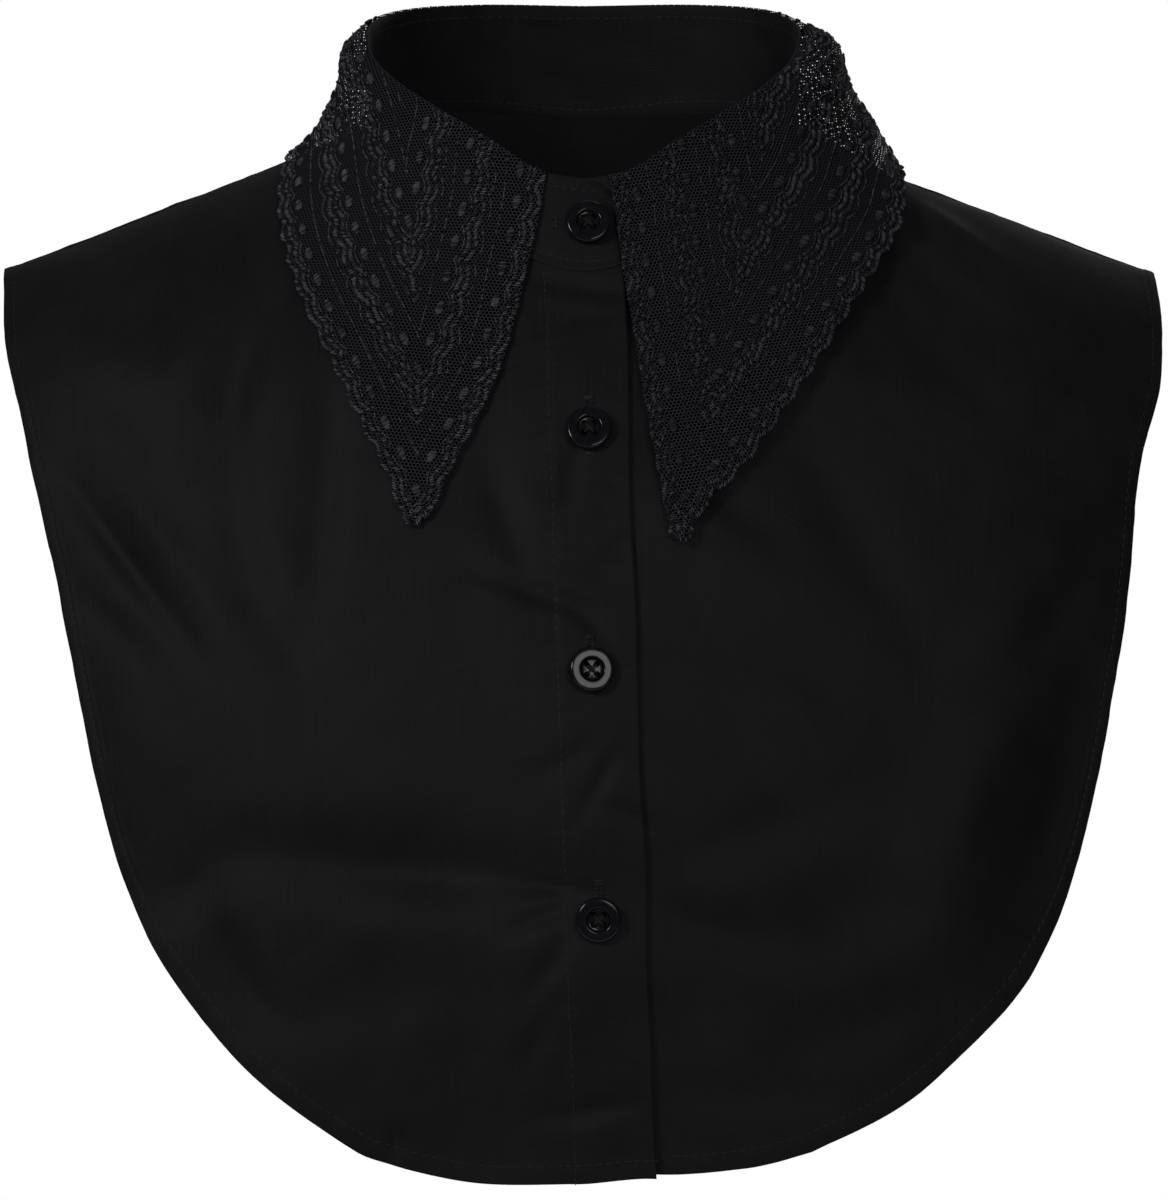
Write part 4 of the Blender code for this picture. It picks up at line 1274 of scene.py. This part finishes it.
def embroider(hand):
    spots, alongs, ups, sizes, shades = [], [], [], [], []

    def add(spot, along, up, size, shade):
        spots.append(spot)
        alongs.append(along)
        ups.append(up)
        sizes.append(size)
        # the left leaf's shades are lowered here as painted shade
        shades.append(shade * LEAF_PAINTED_SHADE[hand])

    def cord(row, extra, swing, width):
        lean = 58 if row.arm == "outer" else -58
        for run in row.line(extra, swing):
            for spot, along, normal in walk_run(run, CORD_STEP):
                slanted = turned_across(along, normal, lean + chance.uniform(-10, 10))
                size = (width * chance.uniform(0.86, 1.1), CORD_THICK * chance.uniform(0.8, 1.2), CORD_TALL * chance.uniform(0.8, 1.2))
                tilted = slanted + normal * chance.uniform(-0.10, 0.10)
                aside = normal.cross(along) * chance.uniform(-0.00018, 0.00018)
                lifted = normal * chance.uniform(0.00003, 0.00024)
                add(spot + aside + lifted, tilted, normal, size, 0.10 + 0.90 * chance.random())

    def fine_line(row, extra, swing, sharp):
        for run in row.line(extra, swing, sharp):
            for spot, along, normal in walk_run(run, LINE_STEP):
                leaning = turned_across(along, normal, chance.uniform(-16, 16))
                size = (LINE_STEP * 1.05, LINE_WIDTH * chance.uniform(0.8, 1.35), LINE_WIDTH * 1.2)
                add(spot + normal * 0.00012, leaning, normal, size, 0.10 + 0.80 * chance.random())

    def dot(middle, along, normal):
        across = normal.cross(along)
        count = 12
        for k in range(count):
            place = (k + 0.5) / count * 2 - 1
            crown = math.sqrt(max(1 - place**2, 0.05))
            slanted = turned_across(across, normal, 14 + chance.uniform(-12, 12))
            size = (0.0032 * crown * chance.uniform(0.88, 1.1) + 0.0003, 0.00044, 0.00066)
            lifted = normal * (0.00006 + 0.00022 * crown)
            add(middle + along * place * 0.0023 + lifted, slanted, normal, size, 0.10 + 0.70 * chance.random())

    for arm in ("outer", "front"):
        level = 0
        while True:
            row = Row(hand, arm, level * REPEAT)
            if row.empty:
                break
            if level:
                fine_line(row, -0.0008, 0.0016, 0.8)
            cord(row, 0.0014, 0.0016, CORD_WIDTH)
            cord(row, 0.0037, 0.0016, CORD_WIDTH * 0.95)
            fine_line(row, 0.0053, 0.0018, 0.8)
            for middle, along, normal in row.dots():
                dot(middle, along, normal)
            fine_line(row, 0.0116, 0.0, 1.0)
            level += 1
        print("leaf", hand, arm, "rows:", level)
    name = "right_leaf_embroidery" if hand == RIGHT else "left_leaf_embroidery"
    return lay_copies(name, bundle, spots, alongs, ups, sizes, satin, shades)


embroidery = {hand: embroider(hand) for hand in (RIGHT, LEFT)}

# %% [markdown]
# ## Lace: the net
# The tulle's holes are about 0.8 mm across. Ninety thousand of them as mesh would be far too heavy, so the net is
# one thin sheet whose material lets a small pinhole in the middle of each hole through and paints the rest of the
# hole near-black as painted shade. The sheet is unwrapped flat first, so that the holes stay
# six-sided and of one size all over the curved leaf, and it ends under the outermost cord.

# %% Net sheet

NET_COLUMNS, NET_ROWS, NET_IN = 170, 36, 0.0016


def net_point(u, v):
    """u runs from the right leaf's front edge round the back to the left one's, v from the fold to the edge."""
    hand = RIGHT if u <= 0.5 else LEFT
    share = 2 * u if hand == RIGHT else 2 - 2 * u
    tall = np.linalg.norm(np.diff(leaf_grid[hand][round(share * LEAF_COLUMNS)], axis=0), axis=1).sum()
    wide = 0.34
    across = share + NET_IN / wide * (1 - share)
    return Vector(on_leaf(lace_grid[hand], np.array(across), np.array(v * (1 - NET_IN / tall))))


build = bmesh.new()
bmesh.ops.create_grid(build, x_segments=2 * NET_COLUMNS, y_segments=NET_ROWS, size=0.5)
for vertex in build.verts:
    vertex.co = net_point(clamp(vertex.co.x + 0.5), clamp(vertex.co.y + 0.5))
build.normal_update()
if sum(face.normal.dot(face.calc_center_median() - Vector((0, 0, -0.10))) for face in build.faces) < 0:
    bmesh.ops.reverse_faces(build, faces=build.faces[:])
mesh = bpy.data.meshes.new("lace_net")
build.to_mesh(mesh)
build.free()
mesh.shade_smooth()
mesh.uv_layers.new(name="net")
net = bpy.data.objects.new("lace_net", mesh)
bpy.context.scene.collection.objects.link(net)
bpy.context.view_layer.objects.active = net
net.select_set(True)
bpy.ops.object.mode_set(mode="EDIT")
bpy.ops.mesh.select_all(action="SELECT")
bpy.ops.uv.unwrap(method="ANGLE_BASED", margin=0)
bpy.ops.object.mode_set(mode="OBJECT")
net.select_set(False)
flat = np.empty(2 * len(mesh.loops))
mesh.uv_layers["net"].data.foreach_get("uv", flat)
flat = flat.reshape(-1, 2)
areas, shapes = np.array([face.area for face in mesh.polygons]), []
for face in mesh.polygons:
    x, y = flat[face.loop_start : face.loop_start + face.loop_total].T
    shapes.append(abs(np.dot(x, np.roll(y, 1)) - np.dot(y, np.roll(x, 1))) / 2)
scale = math.sqrt(areas.sum() / sum(shapes))
stretch = np.sqrt(areas / (np.array(shapes) * scale**2))
mesh.uv_layers["net"].data.foreach_set("uv", (flat * scale).ravel())
print("net:", round(1e4 * areas.sum()), "cm2, stretch of the flat cut from", round(stretch.min(), 2), "to", round(stretch.max(), 2))

# %% [markdown]
# ## Tulle
# Cotton or polyamide bobbinet is black threads twisted round each other into six-sided holes. Two sets of
# rectangles, shifted by half, give the middle of the nearest hole, and the distance to its sides then says
# whether a place is thread or hole. Only a small pinhole in the middle of each hole is see-through; the rest of
# the hole is opaque and painted near-black, a painted shade for the shadowed cloth seen through the net.

# %% Tulle material

HOLE = 0.00118
tulle, tulle_tree, tulle_surface = new_material("black_bobbinet_tulle", "#1c1c1e", 0.75, 0.06)
flat_net = add_node(tulle_tree, "UVMap", {"uv_map": "net"}, {})
wobble = add_node(tulle_tree, "TexNoise", {}, {"Vector": flat_net.outputs[0], "Scale": 260, "Detail": 1})
uneven = add_node(tulle_tree, "VectorMath", {"operation": "MULTIPLY_ADD"}, {0: wobble.outputs["Color"], 1: (0.0003, 0.0003, 0), 2: flat_net.outputs[0]})
cells = add_node(tulle_tree, "VectorMath", {"operation": "MULTIPLY"}, {0: uneven.outputs[0], 1: (1 / HOLE, 1 / (HOLE * math.sqrt(3)), 0)})
found = []
for shift in (0.0, 0.5):
    moved = add_node(tulle_tree, "VectorMath", {"operation": "ADD"}, {0: cells.outputs[0], 1: (shift, shift, 0)})
    inside = add_node(tulle_tree, "VectorMath", {"operation": "FRACTION"}, {0: moved.outputs[0]})
    centred = add_node(tulle_tree, "VectorMath", {"operation": "MULTIPLY_ADD"}, {0: inside.outputs[0], 1: (1, math.sqrt(3), 0), 2: (-0.5, -math.sqrt(3) / 2, 0)})
    upright = add_node(tulle_tree, "VectorMath", {"operation": "ABSOLUTE"}, {0: centred.outputs[0]})
    side = add_node(tulle_tree, "SeparateXYZ", {}, {0: upright.outputs[0]})
    slant = add_node(tulle_tree, "VectorMath", {"operation": "DOT_PRODUCT"}, {0: upright.outputs[0], 1: (0.5, math.sqrt(3) / 2, 0)})
    reach = add_node(tulle_tree, "Math", {"operation": "MAXIMUM"}, {0: side.outputs["X"], 1: slant.outputs["Value"]})
    found.append(reach.outputs[0])
nearest = add_node(tulle_tree, "Math", {"operation": "MINIMUM"}, {0: found[0], 1: found[1]})
thread_mask = add_node(tulle_tree, "MapRange", {"interpolation_type": "SMOOTHSTEP"}, {"Value": nearest.outputs[0], "From Min": 0.155, "From Max": 0.215})
tulle_tree.links.new(thread_mask.outputs[0], tulle_surface.inputs["Alpha"])
round_thread = add_node(tulle_tree, "Bump", {}, {"Strength": 0.8, "Distance": 0.00012, "Height": nearest.outputs[0]})
tulle_tree.links.new(round_thread.outputs[0], tulle_surface.inputs["Normal"])
# Near-black inside each hole around its see-through pinhole: painted shade of the shadowed cloth under the net
thread_or_painted_hole_shade = add_node(tulle_tree, "MapRange", {"interpolation_type": "SMOOTHSTEP"}, {"Value": nearest.outputs[0], "From Min": 0.36, "From Max": 0.44})
tulle_tone_with_painted_hole_shade = add_node(tulle_tree, "Mix", {"data_type": "RGBA"}, {0: thread_or_painted_hole_shade.outputs[0], 6: linear("#020203"), 7: linear("#45454b")})
tulle_tree.links.new(tulle_tone_with_painted_hole_shade.outputs[2], tulle_surface.inputs["Base Color"])
net.data.materials.append(tulle)
# %% [markdown]
# ## Buttons
# Shirt buttons are cast from polyester rod and turned on a lathe, so one outline spun round an axis gives the wide
# rim and the dish. Four holes are then drilled, here with a boolean cut, and black thread crosses between them.

# %% Button material and outline

BUTTON_RADIUS, BUTTON_THICK, DRILL_RADIUS, DRILL_SPREAD = 0.0068, 0.0028, 0.00095, 0.0015
BUTTON_PLACES = ((0.0012, -0.0934, 0), (0.0018, -0.1637, 9), (0.0040, -0.2367, 0))
#                 radius, height, in millimetres: from the middle of the dish over the rim to the back
BUTTON_OUTLINE = (
    (0.0, 1.45), (2.6, 1.48), (3.15, 1.60), (3.40, 1.95), (3.60, 2.46), (3.78, 2.66), (4.0, 2.70), (5.0, 2.71),
    (5.95, 2.70), (6.30, 2.60), (6.62, 2.24), (6.78, 1.75), (6.76, 1.25), (6.5, 0.75), (5.6, 0.30), (4.0, 0.06), (0.0, 0.0),
)

# Cast polyester, turned and tumbled to a polish: a deep black with sharp, small reflections of the lamps
glossy, glossy_tree, glossy_surface = new_material("black_polished_polyester_button", "#08080a", 0.13, 0.5)
glossy_place = add_node(glossy_tree, "TexCoord", {}, {})
swirl = add_node(glossy_tree, "TexNoise", {}, {"Vector": glossy_place.outputs["Object"], "Scale": 420, "Detail": 2})
glossy_rough = add_node(glossy_tree, "MapRange", {}, {"Value": swirl.outputs[0], "To Min": 0.07, "To Max": 0.22})
glossy_tree.links.new(glossy_rough.outputs[0], glossy_surface.inputs["Roughness"])
tumbled = add_node(glossy_tree, "Bump", {}, {"Strength": 0.12, "Distance": 0.0001, "Height": swirl.outputs[0]})
glossy_tree.links.new(tumbled.outputs[0], glossy_surface.inputs["Normal"])
glossy_tone = add_node(glossy_tree, "Mix", {"data_type": "RGBA"}, {0: swirl.outputs[0], 6: linear("#0b0b0d"), 7: linear("#1b1b1f")})
glossy_tree.links.new(glossy_tone.outputs[2], glossy_surface.inputs["Base Color"])

# %% Button shape


def turned_button(name):
    build = bmesh.new()
    line = [build.verts.new((radius / 1000, 0, height / 1000)) for radius, height in BUTTON_OUTLINE]
    edges = [build.edges.new(pair) for pair in zip(line, line[1:])]
    bmesh.ops.spin(
        build, geom=line + edges, cent=(0, 0, 0), axis=(0, 0, 1), angle=2 * math.pi, steps=72, use_merge=True
    )
    bmesh.ops.remove_doubles(build, verts=build.verts[:], dist=0.00001)
    bmesh.ops.recalc_face_normals(build, faces=build.faces[:])
    mesh = bpy.data.meshes.new(name)
    build.to_mesh(mesh)
    build.free()
    return mesh


def drilled(mesh):
    """The mesh with four holes through it."""
    build = bmesh.new()
    for right in (-1, 1):
        for up in (-1, 1):
            bmesh.ops.create_cone(
                build, cap_ends=True, segments=20, radius1=DRILL_RADIUS, radius2=DRILL_RADIUS, depth=0.01,
                matrix=Matrix.Translation((right * DRILL_SPREAD, up * DRILL_SPREAD, 0)),
            )
    drill_mesh = bpy.data.meshes.new("drills")
    build.to_mesh(drill_mesh)
    build.free()
    blank, drills = bpy.data.objects.new("blank", mesh), bpy.data.objects.new("drills", drill_mesh)
    for thing in (blank, drills):
        bpy.context.scene.collection.objects.link(thing)
    cut = blank.modifiers.new("holes", "BOOLEAN")
    cut.object, cut.operation, cut.solver = drills, "DIFFERENCE", "EXACT"
    bpy.context.view_layer.update()
    found = bpy.data.meshes.new_from_object(blank.evaluated_get(bpy.context.evaluated_depsgraph_get()))
    bpy.data.objects.remove(blank)
    bpy.data.objects.remove(drills)
    return found


button_blank = drilled(turned_button("button_blank"))
print("button:", len(button_blank.polygons), "faces")

# %% Place the buttons and sew them on


def button_seats():
    """Where each button's back lies, and which way it faces, as the solids have it."""
    base, top = stand_point(-0.85, 0), stand_point(-0.85, 1)
    facing = Vector((1, 0, 0)).cross(top - base).normalized()
    seats = [(base.lerp(top, 0.475) + facing * (STAND_WALL + SEAM_GAP), facing)]
    for x, z, turned in BUTTON_PLACES:
        down = down_cloth(x, z, True)
        facing = outward(x, down)
        room = 0.6 * BUTTON_RADIUS * math.sin(math.radians(turned))
        seats.append((on_figure(x, down, LAP + CLOTH + SEAM_GAP + room), Matrix.Rotation(math.radians(turned), 3, "Z") @ facing))
    return seats


# The buttons' own thread is thicker and waxed, so it is a deeper black than the topstitching
button_twist = twisted_thread("black_waxed_button_thread", "#060606", "#19191a")
buttons, button_threads = [], []
strand = capsule(1.0, 1.0, 1.0, 8, 7)
for number, (spot, facing) in enumerate(button_seats(), start=1):
    turn = Matrix.Translation(spot) @ facing.to_track_quat("Z", "Y").to_matrix().to_4x4()
    spin = Matrix.Rotation(math.radians((4, -7, 12, -3)[number - 1]), 4, "Z")
    mesh = button_blank.copy()
    mesh.name = f"shirt_button_{number}"
    mesh.transform(turn)
    mesh.materials.clear()
    mesh.materials.append(glossy)
    mesh.shade_smooth()
    mesh.set_sharp_from_angle(angle=math.radians(38))
    button = bpy.data.objects.new(f"shirt_button_{number}", mesh)
    bpy.context.scene.collection.objects.link(button)
    buttons.append(button)
    spots, alongs, ups, sizes = [], [], [], []
    for lean in (45, 135):
        for k in range(4):
            side = (k - 1.5) * 0.00024
            along = Matrix.Rotation(math.radians(lean + (k - 1.5) * 5), 3, "Z") @ Vector((1, 0, 0))
            across = Vector((-along.y, along.x, 0))
            spots.append(turn @ (across * side + Vector((0, 0, 0.00180 + (0.00022 if lean == 135 else 0)))))
            alongs.append(turn.to_3x3() @ along)
            ups.append(facing)
            sizes.append((0.0044, 0.00030, 0.00030))
    button_threads.append(
        lay_copies(f"button_thread_{number}", strand, spots, alongs, ups, sizes, button_twist, [0.5] * len(spots))
    )

# %% [markdown]
# ## Buttonholes
# A buttonhole is a slit between two ridges of close zigzag stitches, shut at each end by a bar tack. The one in
# the stand lies level and the three in the placket stand upright, each reaching past the lower rim of its button.

# %% Buttonholes

RIDGE_OFF, RIDGE_WIDE, ZIGZAG = 0.00095, 0.00135, 0.00042
zigzag = capsule(1.0, 1.0, 1.0, 6, 5)


def buttonhole(name, tree, centre, along, low, high):
    """Low and high are how far the slit reaches to both sides of the centre, along its length."""
    spots, alongs, ups, sizes = [], [], [], []

    def stitch(off_along, off_across, long, turned):
        _, normal, _, _ = tree.find_nearest(centre)
        across = normal.cross(along).normalized()
        place, normal, _, _ = tree.find_nearest(centre + along * off_along + across * off_across)
        spots.append(place + normal * 0.00008)
        alongs.append(Matrix.Rotation(math.radians(turned + chance.uniform(-7, 7)), 3, normal) @ across)
        ups.append(normal)
        sizes.append((long, 0.00036 * chance.uniform(0.9, 1.2), 0.00046))

    steps = int((low + high) / ZIGZAG)
    for k in range(steps + 1):
        for side in (-1, 1):
            stitch(-low + k * ZIGZAG, side * RIDGE_OFF, RIDGE_WIDE * chance.uniform(0.9, 1.1), side * 9)
    for end in (-low - 0.0002, high + 0.0002):
        for k in range(5):
            stitch(end + (k - 2) * 0.0003, 0, 0.0033 * chance.uniform(0.94, 1.05), chance.uniform(-5, 5))
    return lay_copies(name, zigzag, spots, alongs, ups, sizes, satin, [0.05 + 0.3 * chance.random() for _ in spots])


seats = button_seats()
buttonholes = {"front_right": [], "collar_stand": []}
for number in (2, 3, 4):
    centre, facing = seats[number - 1]
    down_line = Vector((1, 0, 0)).cross(facing).normalized() * -1
    buttonholes["front_right"].append(buttonhole(f"buttonhole_{number}", faces_of[RIGHT], centre, down_line, 0.0068, 0.0103))
buttonholes["collar_stand"].append(
    buttonhole("buttonhole_1", stand_tree, seats[0][0], Vector((-1, 0, 0)), 0.0060, 0.0100)
)

# %% [markdown]
# ## Pieces on the body
# Every piece rides on the one body. The pieces that stand for a solid replace it, so the solid stays for contact
# and only the finished piece shows. Each sheet of cloth keeps its place on the flat cut in its UV map named cut.

# %% The body, and the solids that the pieces stand for

cloth_pieces = {"front_right": cloth[RIGHT], "front_left": cloth[LEFT], "back": back_cloth, "collar_stand": stand_cloth}
for node, piece in cloth_pieces.items():
    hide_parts(node)
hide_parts("lace_collar")
for number, button in enumerate(buttons, start=1):
    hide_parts(f"button_{number}")
threads = [right_sewing, left_sewing, back_sewing, stand_sewing, *button_threads]
embroidered = [*embroidery.values(), *buttonholes["front_right"], *buttonholes["collar_stand"]]
for piece in [*cloth_pieces.values(), net, *buttons, *threads, *embroidered]:
    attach(piece, "root")
